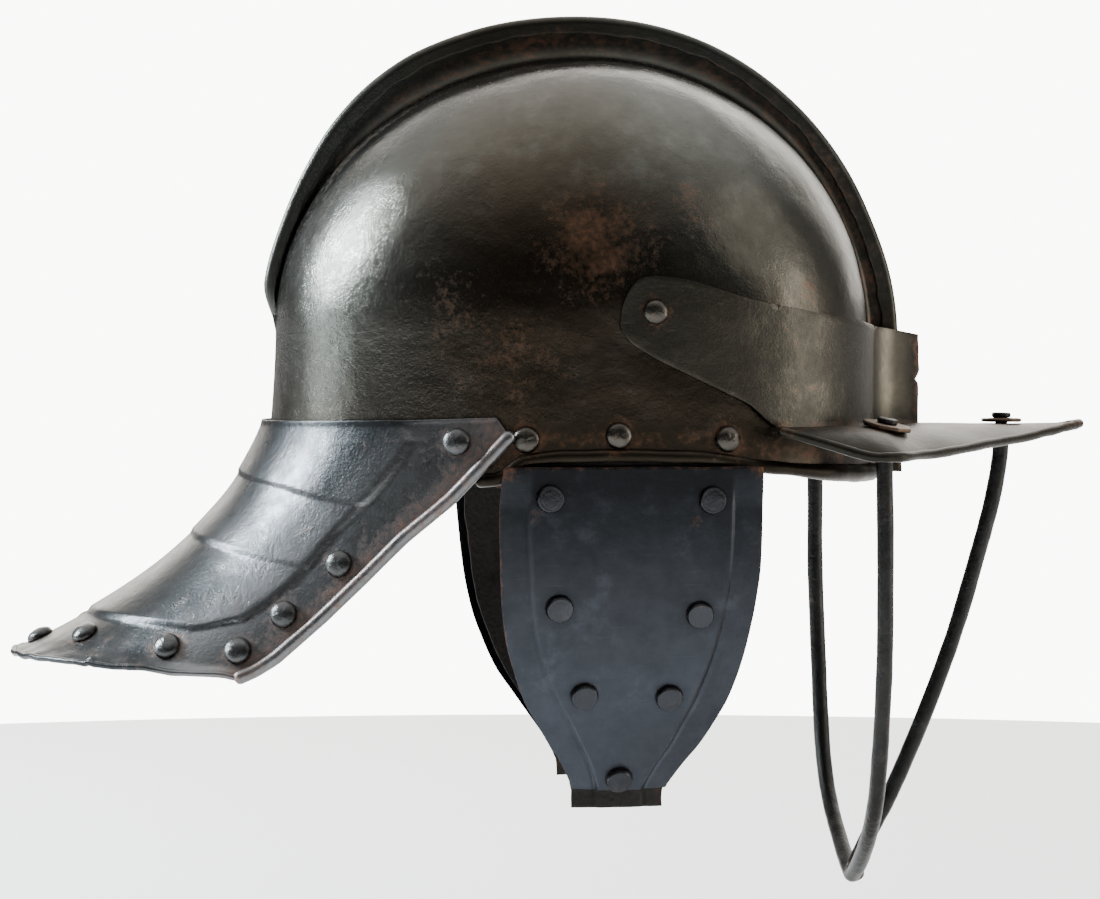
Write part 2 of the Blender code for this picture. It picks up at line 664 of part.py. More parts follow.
def peak(parts, cutters, finish):
    """Arms, band and brim as one bent plate, its left half mirrored, with the brim's rolled edge."""
    columns = []
    for share, high, low in ARM_LINE:
        x = POLE_X + ARM_START + ARM_REACH * share
        y = round_width(x - POLE_X, BAND_RADIUS, BAND_WIDTH)
        line = -SKULL_HEIGHT + BAND_TOP_RISE + (1 - share) * ARM_RISE
        columns.append((x, y, line - BAND_HEIGHT * high, line - BAND_HEIGHT * low))
    band = [[Vector((x, y, blend(top, bottom, k / 4))) for k in range(5)] for x, y, top, bottom in columns]
    front = []
    brim = []
    for row in range(len(BRIM_LINE)):
        x, y = band_plan(BRIM_LINE[row][0])
        top, bottom = band_heights(x)
        front.append([Vector((x, y, blend(top, bottom, k / 4))) for k in range(5)])
        brim.append([front[-1][-1]] + [brim_point(row, out) for out in BRIM_ROWS])
    mesh = surface("peak", [band + front, brim],
                   lambda p: Vector((p.x, p.y, 0.15)))
    plate = new_object("peak", mesh, parts, finish)
    mirror = plate.modifiers.new("both_sides", "MIRROR")
    mirror.use_axis = (False, True, False)
    mirror.merge_threshold = MERGE
    thicken(plate, SHEET)
    edge = [brim_point(k, 1.0) for k in range(len(BRIM_LINE))]
    down = Vector((0, 0, SHEET / 2))
    path = [p - down for p in edge[:-1]] + [Vector((p.x, -p.y, p.z)) - down for p in reversed(edge[:-1])]
    roll = tube_mesh("brim_roll", path, BRIM_ROLL, cutters)
    combine(plate, make_cutter(roll), "UNION")
    pivots = [(Vector((PIVOT_X, side * BAND_WIDTH, pivot_place(side)[0].z)), Vector((0, side, 0)))
              for side in SIDES.values()]
    combine(plate, hole_cutters("peak_pivot_holes", pivots, SHANK_RADIUS + HOLE_ROOM, cutters), "DIFFERENCE")
    bores = hole_cutters("peak_bar_holes", list(washer_places().values()), TENON_RADIUS + HOLE_ROOM, cutters)
    combine(plate, bores, "DIFFERENCE")
    return plate


def smooth_path(points, steps=3):
    """Points on a smooth curve through the given ones."""
    padded = [points[0] * 2 - points[1]] + points + [points[-1] * 2 - points[-2]]
    path = [points[0]]
    for a, b, c, d in zip(padded, padded[1:], padded[2:], padded[3:]):
        for k in range(1, steps + 1):
            t = k / steps
            path.append(0.5 * (2 * b + (c - a) * t + (2 * a - 5 * b + 4 * c - d) * t * t
                               + (3 * b - a - 3 * c + d) * t ** 3))
    return path


def bar_top(point, normal):
    """Where a bar's full section starts under the brim."""
    return point - normal * (SHEET + GAP + BAR_SHOULDER)


def face_bars(parts, cutters, finish, places):
    """One welded guard: the side bars' U, the centre bar, and the riveted tenons through the brim."""
    left = bar_top(*places["left"])
    centre = bar_top(*places["centre"])
    foot_x = left.x + FOOT_FORWARD
    down = []
    for drop, spread in SIDE_BAR:
        down.append(Vector((left.x + FOOT_FORWARD * drop, left.y * spread, left.z - BARS_DROP * drop)))
    right_side = [Vector((p.x, -p.y, p.z)) for p in reversed(down[:-1])]
    points = [left, *down, *right_side, Vector((left.x, -left.y, left.z))]
    parts_of_bar = [tube_mesh("side_bars", smooth_path(points, 2), BAR_RADIUS, cutters)]
    middle = [centre]
    for drop, share in CENTRE_BAR:
        middle.append(Vector((blend(foot_x, centre.x, share), 0, centre.z - BARS_DROP * drop)))
    parts_of_bar.append(tube_mesh("centre_bar", smooth_path(middle, 2), BAR_RADIUS, cutters))
    for name, (point, normal) in places.items():
        head_seat = point + normal * (WASHER_THICKNESS + 2 * GAP)
        start = bar_top(point, normal) - normal * BAR_RADIUS / 2
        parts_of_bar.append(tube_mesh("tenon_" + name, [start, head_seat + normal * BAR_HEAD_HEIGHT / 2],
                                      TENON_RADIUS, cutters))
        parts_of_bar.append(tube_mesh("head_" + name, [head_seat, head_seat + normal * BAR_HEAD_HEIGHT],
                                      BAR_HEAD_RADIUS, cutters))
    guard = new_object("face_bars", parts_of_bar[0].data.copy(), parts, finish)
    make_cutter(parts_of_bar[0])
    for piece in parts_of_bar[1:]:
        combine(guard, make_cutter(piece), "UNION")
    return guard


def washers(parts, finish, places):
    for name, (point, normal) in places.items():
        outer = CENTRE_WASHER_RADIUS if name == "centre" else SIDE_WASHER_RADIUS
        inner = TENON_RADIUS + HOLE_ROOM
        profile = [(inner, WASHER_THICKNESS), (outer - 2 * WASHER_CHAMFER, WASHER_THICKNESS),
                   (outer, WASHER_THICKNESS - WASHER_CHAMFER), (outer, 0.0), (inner, 0.0)]
        mesh = turned_mesh("washer_" + name, profile, closed=True)
        ring = new_object("washer_" + name, mesh, parts, finish)
        ring.matrix_world = frame_at(point + normal * GAP, normal)
        turn_round(ring, ROUND_SIDES)


# Cheek pieces

def cheek_top():
    """Height of the cheek plate's top edge, under the rolled rim."""
    lowest = rim_depth(CHEEK_X + CHEEK_HALF_WIDTH / 2)
    return -SKULL_HEIGHT - lowest - RIM_ROLL - CHEEK_TOP_GAP


def cheek_width(x, z):
    """Half width of the cheek plate's outer face."""
    down = (cheek_top() - z) / CHEEK_LENGTH
    tuck = look_up(CHEEK_LINE, down, 3) * CHEEK_TUCK
    return SKULL_HALF_WIDTH + CHEEK_STAND_OFF - tuck - CHEEK_TURN * (x - CHEEK_X)


def cheek_lean(z, side):
    """Forward swing of a cheek piece on its leather, below the rim."""
    return math.tan(LEFT_CHEEK_SWING) * max(cheek_top() - z, 0.0) if side > 0 else 0.0


def cheek_point(across, down, side):
    """Point of the plate's outer face: share across from the middle, share down."""
    z = cheek_top() - down * CHEEK_LENGTH
    x = CHEEK_X + across * CHEEK_HALF_WIDTH
    return Vector((x + cheek_lean(z, side), side * cheek_width(x, z), z))


def cheek_place(across, down, side):
    z = cheek_top() - down * CHEEK_LENGTH
    x = CHEEK_X + across * CHEEK_HALF_WIDTH
    return cheek_point(across, down, side), side_normal(cheek_width, x, z, side)


def cheek_plate(name, side, parts, cutters, finish, places):
    columns = [k / 6 for k in range(7)]
    rows = []
    for down, low, high, _ in CHEEK_LINE:
        rows.append([cheek_point(blend(low, high, share), down, side) for share in columns])
    mesh = surface("cheek_plate_" + name, [rows], lambda p: Vector((0, side, 0)))
    plate = new_object("cheek_plate_" + name, mesh, parts, finish)
    thicken(plate, SHEET)
    combine(plate, hole_cutters("cheek_plate_holes_" + name, places, SHANK_RADIUS + HOLE_ROOM, cutters),
            "DIFFERENCE")
    return plate


def lining_width(x, z):
    """Half width of the leather's outer face: behind the plate, then inside the skull's wall."""
    behind = cheek_width(x, z) - SHEET - GAP
    inside = skull_width(x, max(z, -SKULL_HEIGHT - RIM_DROP)) - SHEET - 2 * GAP
    start, end = cheek_top() - CHEEK_LENGTH * TUCK_START, cheek_top() - CHEEK_LENGTH * TUCK_END
    share = min(max((z - start) / (end - start), 0.0), 1.0)
    share = share * share * (3 - 2 * share)
    return blend(behind, inside, share)


def cheek_leather(name, side, parts, cutters, finish, places):
    """Leather under the plate, with its upper end inside the skull and a tab at its foot."""
    columns = [k / 6 for k in range(7)]
    top = cheek_top()
    rows = []
    for rise, low, high in TONGUE_LINE:
        rows.append((top + rise * CHEEK_HUNG, CHEEK_X + low * CHEEK_HALF_WIDTH, CHEEK_X + high * CHEEK_HALF_WIDTH))
    for down in sorted([0.0, TUCK_START, TUCK_END] + [row[0] for row in CHEEK_LINE[2:-1]]):
        rows.append((top - down * CHEEK_LENGTH,
                     CHEEK_X + look_up(CHEEK_LINE, down, 1) * CHEEK_HALF_WIDTH + LINING_INSET,
                     CHEEK_X + look_up(CHEEK_LINE, down, 2) * CHEEK_HALF_WIDTH - LINING_INSET))
    foot = CHEEK_LINE[-1]
    for drop in (-0.3, 0.0, 1.0):
        rows.append((top - CHEEK_LENGTH - drop * CHEEK_TAB, CHEEK_X + foot[1] * CHEEK_HALF_WIDTH,
                     CHEEK_X + foot[2] * CHEEK_HALF_WIDTH - LINING_INSET / 3))
    grid = []
    for z, low, high in rows:
        grid.append([Vector((blend(low, high, share) + cheek_lean(z, side),
                             side * lining_width(blend(low, high, share), z), z)) for share in columns])
    mesh = surface("cheek_leather_" + name, [grid], lambda p: Vector((0, side, 0)))
    leather = new_object("cheek_leather_" + name, mesh, parts, finish)
    thicken(leather, LEATHER)
    combine(leather, hole_cutters("cheek_leather_holes_" + name, places, SHANK_RADIUS + HOLE_ROOM, cutters),
            "DIFFERENCE")
    return leather


# Rivets

def rivet_mesh(name, radius, height, grip, head=DOMED_HEAD):
    """Profile of a rivet whose head sits on local Z = 0, with a small clenched end at its foot."""
    foot = -grip - GAP
    profile = [(radius * across, height * up) for across, up in head]
    profile += [(radius, GAP), (SHANK_RADIUS, GAP), (SHANK_RADIUS, foot), (CLENCH_RADIUS, foot),
                (0.0, foot - CLENCH_HEIGHT)]
    return turned_mesh(name, profile)


def rivet(name, mesh, place, parts, finish):
    """One rivet with its head on the plate at a place, a point and its outward normal."""
    made = new_object(name, mesh, parts, finish)
    made.matrix_world = frame_at(*place)
    turn_round(made, ROUND_SIDES)


def build():
    clear_objects()
    parts = new_collection("lobster_tailed_pot")
    cutters = new_collection("cutters")
    skull_steel = material("patinated steel", (0.055, 0.047, 0.040), 0.42, 0.9)
    tail_steel = material("scoured steel", (0.12, 0.13, 0.14), 0.40, 0.9)
    peak_steel = material("dull steel", (0.075, 0.068, 0.058), 0.50, 0.9)
    bar_steel = material("forged bar", (0.030, 0.030, 0.032), 0.50, 0.9)
    cheek_steel = material("blackened steel", (0.040, 0.042, 0.050), 0.45, 0.9)
    rivet_steel = material("rivet iron", (0.080, 0.082, 0.088), 0.40, 0.9)
    hide = material("black leather", (0.018, 0.014, 0.012), 0.75, 0.0)

    skull_rivet = rivet_mesh("skull_rivet", SKULL_RIVET_RADIUS, SKULL_RIVET_HEIGHT, SHEET + 2 * GAP + LEATHER)
    tail_rivet = rivet_mesh("neck_rivet", TAIL_RIVET_RADIUS, TAIL_RIVET_HEIGHT, SHEET)
    joint_rivet = rivet_mesh("neck_joint_rivet", TAIL_RIVET_RADIUS, TAIL_RIVET_HEIGHT, neck_joint_grip())
    cheek_grip = SHEET + 3 * GAP + LEATHER
    cheek_rivet = rivet_mesh("cheek_rivet", CHEEK_RIVET_RADIUS, CHEEK_RIVET_HEIGHT, cheek_grip, FLAT_HEAD)
    upper_cheek_rivet = rivet_mesh("upper_cheek_rivet", CHEEK_RIVET_RADIUS, CHEEK_RIVET_HEIGHT,
                                   cheek_grip + 4 * GAP, FLAT_HEAD)
    pivot_grip = BAND_WIDTH - pivot_place(1.0)[0].y + SHEET + 2 * GAP
    pivot_rivet = rivet_mesh("pivot_rivet", PIVOT_RIVET_RADIUS, PIVOT_RIVET_HEIGHT, pivot_grip)

    bar_places = washer_places()
    tail_holes = [tail_place(*TAIL_CENTRE_RIVET, 1.0)]
    for name, side in SIDES.items():
        on_skull = [skull_place(along, down, side) for along, down in SKULL_RIVETS]
        on_tail = [tail_place(row, share, side) for row, share in TAIL_RIVETS]
        on_cheek = [cheek_place(across, down, side) for across, down in CHEEK_RIVETS]
        pivot = pivot_place(side)
        tail_holes += on_tail
        skull_half(side, name == "left", parts, cutters, skull_steel, on_skull + [pivot, on_tail[0]])
        cheek_plate(name, side, parts, cutters, cheek_steel, on_cheek)
        cheek_leather(name, side, parts, cutters, hide, on_cheek + on_skull)
        for number, place in enumerate(on_skull, 1):
            rivet(f"skull_rivet_{name}_{number}", skull_rivet, place, parts, rivet_steel)
        for number, place in enumerate(on_cheek, 1):
            mesh = upper_cheek_rivet if number <= 2 else cheek_rivet
            rivet(f"cheek_rivet_{name}_{number}", mesh, place, parts, rivet_steel)
        for number, place in enumerate(on_tail, 1):
            mesh = joint_rivet if number == 1 else tail_rivet
            rivet(f"neck_rivet_{name}_{number}", mesh, place, parts, rivet_steel)
        on_band = (Vector((PIVOT_X, side * BAND_WIDTH, pivot[0].z)), pivot[1])
        rivet("pivot_rivet_" + name, pivot_rivet, on_band, parts, rivet_steel)
    rivet("neck_rivet_centre", tail_rivet, tail_holes[0], parts, rivet_steel)
    neck_guard(parts, cutters, tail_steel, tail_holes)
    peak(parts, cutters, peak_steel)
    face_bars(parts, cutters, bar_steel, bar_places)
    washers(parts, rivet_steel, bar_places)


build()
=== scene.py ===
"""Looks of a lobster-tailed pot helmet: hammered skull halves with a turned-over comb, embossed neck guard,
pivoted peak with a barred face guard, cheek plates on leather, and their rivets.

The front is +X, the wearer's left +Y and up +Z, in metres. The origin is the crown of the skull.
"""
import math

import bpy
from mathutils import Matrix, Vector, noise


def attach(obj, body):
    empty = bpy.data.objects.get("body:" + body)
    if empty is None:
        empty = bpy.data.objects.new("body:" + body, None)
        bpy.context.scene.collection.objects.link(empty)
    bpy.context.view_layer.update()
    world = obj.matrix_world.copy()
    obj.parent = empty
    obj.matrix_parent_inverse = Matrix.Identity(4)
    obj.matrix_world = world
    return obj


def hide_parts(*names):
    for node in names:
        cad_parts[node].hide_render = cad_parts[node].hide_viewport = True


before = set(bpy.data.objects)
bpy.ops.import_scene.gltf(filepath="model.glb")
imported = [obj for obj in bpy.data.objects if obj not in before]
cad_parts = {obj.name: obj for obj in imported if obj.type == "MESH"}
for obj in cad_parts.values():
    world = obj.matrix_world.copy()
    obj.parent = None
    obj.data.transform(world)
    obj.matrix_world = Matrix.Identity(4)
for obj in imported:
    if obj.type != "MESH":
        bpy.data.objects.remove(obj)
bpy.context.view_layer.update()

bl_info = {
    "name": "Lobster-tailed pot helmet",
    "version": (1, 0, 0),
    "blender": (4, 5, 0),
    "location": "3D View > Sidebar > Helmet",
    "description": "Builds the dressed helmet piece by piece over its CAD frame",
    "category": "Object",
}

# Sizes shared with the solids, in metres; only the comb's foot is slimmer and the rim roll longer at its rear
SHEET, LEATHER, GAP = 0.0014, 0.0024, 0.0003
POLE_X, SKULL_FRONT, SKULL_BACK, SKULL_HEIGHT, SKULL_HALF_WIDTH = 0.002, 0.0995, 0.1105, 0.096, 0.088
FULLNESS, FRONT_FLARE, BACK_FLARE, RIM_DROP, RIM_ROLL = 2.2, 0.0015, 0.0035, 0.0503, 0.0022
COMB_HEIGHT, COMB_FLANK, HEM_DEPTH, FLANK_NEAR, FLANK_FAR = 0.0165, 0.0125, 0.0062, 0.45, 0.2
TAIL_LENGTH, TAIL_DROP, TAIL_TOP, TAIL_SPREAD, TAIL_ROOM = 0.0884, 0.0806, 0.0313, 0.0031, 0.0004
TAIL_SIDE_REACH, TAIL_SIDE_DROP, TAIL_ROLL = 0.0894, 0.0808, 0.0023
TAIL_CORNER_X, TAIL_CORNER_DROP = 0.0343, 0.0355
PIVOT_X, PIVOT_RISE, BAND_ROOM, BAND_HEIGHT, BAND_TOP_RISE = 0.0144, 0.0059, 0.0015, 0.0412, 0.0085
BAND_TOP_FALL, ARM_REACH, ARM_RISE, ARM_START = 0.0094, 0.0552, 0.0095, 0.0006
KEEL_REACH, KEEL_FLANK, KEEL_NEAR, KEEL_FAR = 0.0078, 0.020, (0.10, 1.75), (0.15, 1.45)
BRIM_LENGTH, BRIM_HALF_WIDTH, BRIM_DROOP, BRIM_ROLL, DROOP_POWER = 0.1248, 0.092, 0.0092, 0.0016, 3.2
BAR_RADIUS, BAR_SHOULDER, TENON_RADIUS, BARS_DROP, FOOT_FORWARD = 0.0029, 0.0013, 0.0022, 0.1592, 0.0015
BAR_HEAD_RADIUS, BAR_HEAD_HEIGHT, WASHER_THICKNESS = 0.0036, 0.0018, 0.0016
SIDE_WASHER_RADIUS, CENTRE_WASHER_RADIUS = 0.0088, 0.0073
CHEEK_X, CHEEK_HALF_WIDTH, CHEEK_LENGTH, CHEEK_TOP_GAP, CHEEK_TUCK = 0.0075, 0.0448, 0.1122, 0.0010, 0.0356
CHEEK_STAND_OFF, CHEEK_TURN, CHEEK_HUNG, CHEEK_TAB, LINING_INSET = 0.0001, 0.035, 0.0150, 0.0062, 0.003
LEFT_CHEEK_SWING = math.radians(3.0)
SIDE_HOLE, CENTRE_HOLE, ROLL_OUT, TAIL_EDGE_POWER = (3.5, 0.50), 0.515, 0.2, 2.5
RIM_ROLL_ENDS = (-0.40, 0.985)
# Comb height along the crown, front to back; rim drop along the skull's half length
COMB_LINE = (
    (0.00, 0.83), (0.055, 0.79), (0.12, 0.74), (0.17, 0.77), (0.25, 0.84), (0.39, 0.96), (0.50, 0.99),
    (0.61, 1.03), (0.67, 1.03), (0.72, 0.96), (0.78, 0.78), (0.84, 0.55), (0.90, 0.40), (0.95, 0.36),
    (0.985, 0.22), (1.00, 0.146),
)
RIM_LINE = (
    (-1.05, 0.92), (-0.479, 1.01), (-0.354, 0.998), (-0.265, 0.865), (-0.14, 0.839), (0.11, 0.841),
    (0.28, 0.847), (0.42, 0.883), (0.50, 0.918), (0.65, 0.944), (0.86, 0.978), (1.15, 1.00),
)
# Neck guard: side edge and spread by row, middle line's controls
TAIL_SIDE = (
    (0.00, 0.047, -0.077), (0.10, 0.00, 0.00), (0.30, 0.219, 0.259), (0.45, 0.395, 0.4245),
    (0.60, 0.5425, 0.590), (0.75, 0.696, 0.755), (0.90, 0.867, 0.920), (0.95, 0.944, 0.974), (1.0, 1.0, 1.0),
)
TAIL_WIDTH = ((0.0, 0.0), (0.3, 1.0), (0.65, 0.84), (1.0, 0.42))
TAIL_CURVE = ((0.0, 0.0), (0.10, 0.33), (0.33, 0.66), (1.0, 1.0))
# Arm of the peak by the square root of its reach: top and bottom edge, shares of the band's height
ARM_LINE = (
    (0.0, 0.399, 0.399), (0.141, 0.220, 0.458), (0.268, 0.067, 0.531), (0.374, -0.017, 0.576),
    (0.495, -0.055, 0.633), (0.64, -0.065, 0.698), (0.80, -0.031, 0.787), (0.906, -0.004, 0.862),
    (0.964, 0.00, 0.958), (1.0, 0.0, 1.0),
)
# Brim by step along its edge: share along the band, reach, half width and droop there
BRIM_LINE = (
    (0.00, 0.00, 0.935, 0.05), (0.13, 0.14, 0.975, 0.60), (0.30, 0.25, 1.00, 1.00),
    (0.52, 0.31, 0.985, 1.00), (0.72, 0.415, 0.815, 0.95), (0.88, 0.54, 0.645, 0.80),
    (1.00, 0.676, 0.435, 0.60), (1.25, 0.80, 0.27, 0.40), (1.50, 0.89, 0.15, 0.22),
    (1.75, 0.96, 0.06, 0.08), (2.00, 1.00, 0.00, 0.00),
)
# Face bars by share of their drop: half width of the side bars, reach of the middle bar
SIDE_BAR = (
    (0.25, 1.00), (0.44, 0.97), (0.56, 0.925), (0.67, 0.86), (0.765, 0.77), (0.84, 0.63), (0.895, 0.47),
    (0.95, 0.26), (0.985, 0.10), (1.00, 0.00),
)
CENTRE_BAR = (
    (0.07, 0.987), (0.17, 0.934), (0.30, 0.828), (0.485, 0.66), (0.665, 0.462), (0.825, 0.255),
    (0.895, 0.145), (0.985, 0.015),
)
# Cheek plate by share of its length down: left and right edge, tuck towards the face
CHEEK_LINE = (
    (0.00, -0.98, 0.98, 0.00), (0.07, -1.00, 0.985, 0.00), (0.16, -1.01, 0.985, 0.01),
    (0.29, -1.00, 0.98, 0.05), (0.40, -0.985, 0.955, 0.12), (0.52, -0.945, 0.91, 0.235),
    (0.62, -0.875, 0.855, 0.34), (0.72, -0.78, 0.775, 0.47), (0.79, -0.675, 0.69, 0.585),
    (0.86, -0.565, 0.595, 0.72), (0.93, -0.455, 0.47, 0.86), (1.00, -0.37, 0.36, 1.00),
)
# Leather over the top of the plate by share of its rise: left and right edge
TONGUE_LINE = ((0.0, -0.92, 0.91), (0.4, -0.92, 0.89), (0.7, -0.90, 0.86), (1.0, -0.86, 0.80))
TUCK_START, TUCK_END = 0.085, 0.045
# Rivets of cheek plate and skull by share across and down, of the neck guard by row and share from the middle
CHEEK_RIVETS = (
    (-0.634, 0.094), (0.592, 0.10), (-0.551, 0.422), (0.516, 0.444), (-0.335, 0.692), (0.315, 0.70),
    (-0.018, 0.962),
)
SKULL_RIVETS = ((-0.276, 0.73), (0.003, 0.704), (0.380, 0.728))
TAIL_RIVETS = ((0.11, 0.885), (0.555, 0.90), (0.75, 0.90), (0.89, 0.90), (0.905, 0.71), (0.90, 0.34))
TAIL_CENTRE_RIVET = (0.945, 0.0)
# Radius and height of the rivets' heads
SKULL_HEAD, TAIL_HEAD = (0.0046, 0.0031), (0.0048, 0.0032)
CHEEK_HEAD, PIVOT_HEAD = (0.0048, 0.0025), (0.0042, 0.0026)
CLENCH_RADIUS = 0.0026
# Rust on either side of the skull: x, half width, z, radius of the patch and strength
SKULL_RUST = (
    (-0.004, 0.086, -0.066, 0.034, 0.46), (-0.05, 0.072, -0.09, 0.03, 0.26),
    (-0.022, 0.080, -0.112, 0.022, 0.28), (0.068, 0.06, -0.082, 0.014, 0.5),
    (0.03, 0.08, -0.052, 0.020, 0.28), (-0.035, 0.08, -0.105, 0.04, 0.25),
)

POLE = Vector((POLE_X, 0.0, -SKULL_HEIGHT))
SEAM = 1.5 * GAP
FLANGE = SEAM / 2 + SHEET
HEM_RADIUS = FLANGE + GAP / 2 + SHEET / 2
BAND_RADIUS = SKULL_FRONT + FRONT_FLARE + BAND_ROOM
BAND_WIDTH = SKULL_HALF_WIDTH + GAP + SHEET
SIDES = {"right": -1.0, "left": 1.0}


def linear(code):
    """Linear colour of an sRGB hex value."""
    parts = [int(code[i:i + 2], 16) / 255 for i in (1, 3, 5)]
    return tuple(p / 12.92 if p <= 0.04045 else ((p + 0.055) / 1.055) ** 2.4 for p in parts)


class HelmetSettings(bpy.types.PropertyGroup):
    """Sizes and colours of the helmet that a user would change."""
    hammer_depth: bpy.props.FloatProperty(
        name="Hammer depth", description="Depth of the dents that the hammer left in the skull",
        default=0.00028, min=0.0, max=0.001, subtype="DISTANCE", unit="LENGTH")
    lame_step: bpy.props.FloatProperty(
        name="Lame step", description="Height of the steps embossed across the neck guard",
        default=0.0007, min=0.0, max=0.002, subtype="DISTANCE", unit="LENGTH")
    border_step: bpy.props.FloatProperty(
        name="Border step", description="Height of the neck guard's field over its border",
        default=0.0008, min=0.0, max=0.002, subtype="DISTANCE", unit="LENGTH")
    cheek_bend: bpy.props.FloatProperty(
        name="Cheek border bend", description="How far the cheek plate's border is bent back at its edge",
        default=0.0018, min=0.0, max=0.003, subtype="DISTANCE", unit="LENGTH")
    patina: bpy.props.FloatVectorProperty(
        name="Patina", description="Brown-black oxide on the skull",
        default=linear("#3a342c"), subtype="COLOR")
    rust: bpy.props.FloatVectorProperty(
        name="Rust", description="Orange-brown rust in the corners",
        default=linear("#5e3a22"), subtype="COLOR")
    blackening: bpy.props.FloatVectorProperty(
        name="Blackening", description="Blue-black of the cheek plates",
        default=linear("#26282b"), subtype="COLOR")
    hide: bpy.props.FloatVectorProperty(
        name="Leather", description="Old black leather", default=linear("#100d0b"), subtype="COLOR")


def settings():
    return bpy.context.scene.helmet


# Curves and tables

def blend(a, b, share):
    return a + (b - a) * share


def ease(share):
    """Smooth step from 0 to 1."""
    share = min(max(share, 0.0), 1.0)
    return share * share * (3 - 2 * share)


def look_up(table, share, column=1):
    """Read a table between its rows."""
    if share <= table[0][0]:
        return table[0][column]
    for low, high in zip(table, table[1:]):
        if share <= high[0]:
            return blend(low[column], high[column], (share - low[0]) / (high[0] - low[0]))
    return table[-1][column]


def smooth(table, share, column=1):
    """Read a table along a smooth curve through its rows."""
    last = len(table) - 1
    if share <= table[0][0] or share >= table[last][0]:
        return table[0 if share <= table[0][0] else last][column]
    i = max(k for k in range(last) if table[k][0] <= share)

    def slope(k):
        if k == 0 or k == last:
            a, b = (0, 1) if k == 0 else (last - 1, last)
            return (table[b][column] - table[a][column]) / (table[b][0] - table[a][0])
        before = (table[k][column] - table[k - 1][column]) / (table[k][0] - table[k - 1][0])
        after = (table[k + 1][column] - table[k][column]) / (table[k + 1][0] - table[k][0])
        return 0.0 if before * after <= 0 else 2 * before * after / (before + after)

    width = table[i + 1][0] - table[i][0]
    t = (share - table[i][0]) / width
    a, b = table[i][column], table[i + 1][column]
    return ((2 * t ** 3 - 3 * t * t + 1) * a + (t ** 3 - 2 * t * t + t) * width * slope(i)
            + (3 * t * t - 2 * t ** 3) * b + (t ** 3 - t * t) * width * slope(i + 1))


def bezier(a, b, c, d, t):
    s = 1 - t
    return tuple(s ** 3 * p + 3 * s * s * t * q + 3 * s * t * t * r + t ** 3 * u
                 for p, q, r, u in zip(a, b, c, d))


def through(points, steps):
    """Points on a smooth curve through the given ones."""
    padded = [points[0] * 2 - points[1]] + points + [points[-1] * 2 - points[-2]]
    path = [points[0]]
    for a, b, c, d in zip(padded, padded[1:], padded[2:], padded[3:]):
        for k in range(1, steps + 1):
            t = k / steps
            path.append(0.5 * (2 * b + (c - a) * t + (2 * a - 5 * b + 4 * c - d) * t * t
                               + (3 * b - a - 3 * c + d) * t ** 3))
    return path


def ripple(point, size, seed=0.0):
    """Even noise from -1 to 1 with lumps of a given size."""
    return noise.noise(point / size + Vector((seed, seed * 0.7, seed * 1.3)))


def skin(share, turn, length, radius=0.002):
    """Place on the skin of a straight bar, for noise that runs along a roll."""
    return Vector((share * length, math.cos(turn) * radius, math.sin(turn) * radius))


def round_width(reach, radius, width):
    share = min(abs(reach) / radius, 1.0)
    return width * (1 - share ** FULLNESS) ** (1 / FULLNESS)


def round_reach(width, radius, full_width):
    return radius * (1 - (width / full_width) ** FULLNESS) ** (1 / FULLNESS)


# Modelling steps

def deselect():
    bpy.ops.object.select_all(action="DESELECT")


def pick(piece):
    deselect()
    piece.select_set(True)
    bpy.context.view_layer.objects.active = piece


def shaped_grid(name, across, down, place):
    """A flat grid whose points are moved to place(u, v), u across and v down, both from 0 to 1."""
    deselect()
    bpy.ops.mesh.primitive_grid_add(x_subdivisions=across, y_subdivisions=down, size=2)
    piece = bpy.context.object
    piece.name = piece.data.name = name
    for point in piece.data.vertices:
        point.co = place((point.co.x + 1) / 2, (1 - point.co.y) / 2)
    return piece


def join(name, pieces, merge=None):
    """Pieces made one object, its doubled points merged over a distance if one is given."""
    deselect()
    for piece in pieces:
        piece.select_set(True)
    bpy.context.view_layer.objects.active = pieces[0]
    if len(pieces) > 1:
        bpy.ops.object.join()
    pieces[0].name = pieces[0].data.name = name
    if merge:
        bpy.ops.object.mode_set(mode="EDIT")
        bpy.ops.mesh.select_all(action="SELECT")
        bpy.ops.mesh.remove_doubles(threshold=merge)
        bpy.ops.mesh.normals_make_consistent(inside=False)
        bpy.ops.object.mode_set(mode="OBJECT")
    return pieces[0]


def turn_outward(piece, outward):
    """Faces turned the way outward(point) points."""
    mesh = piece.data
    if sum(face.normal.dot(outward(face.center)) * face.area for face in mesh.polygons) < 0:
        mesh.flip_normals()


def apply(piece, kind, **values):
    """One modifier added and applied."""
    pick(piece)
    added = piece.modifiers.new(kind.lower(), kind)
    for name, value in values.items():
        setattr(added, name, value)
    bpy.ops.object.modifier_apply(modifier=added.name)


def dent(piece, depth):
    """Points moved along their normals by depth(point, normal)."""
    mesh = piece.data
    moves = [point.normal * depth(point.co, point.normal) for point in mesh.vertices]
    for point, move in zip(mesh.vertices, moves):
        point.co += move
    mesh.update()


def make_sheet(piece, thickness, edge, angle):
    """Thickness inwards, then rounded edges."""
    apply(piece, "SOLIDIFY", thickness=thickness, offset=-1, use_even_offset=True, thickness_clamp=2.0)
    apply(piece, "BEVEL", width=edge, segments=2, limit_method="ANGLE", angle_limit=math.radians(angle),
          use_clamp_overlap=True)


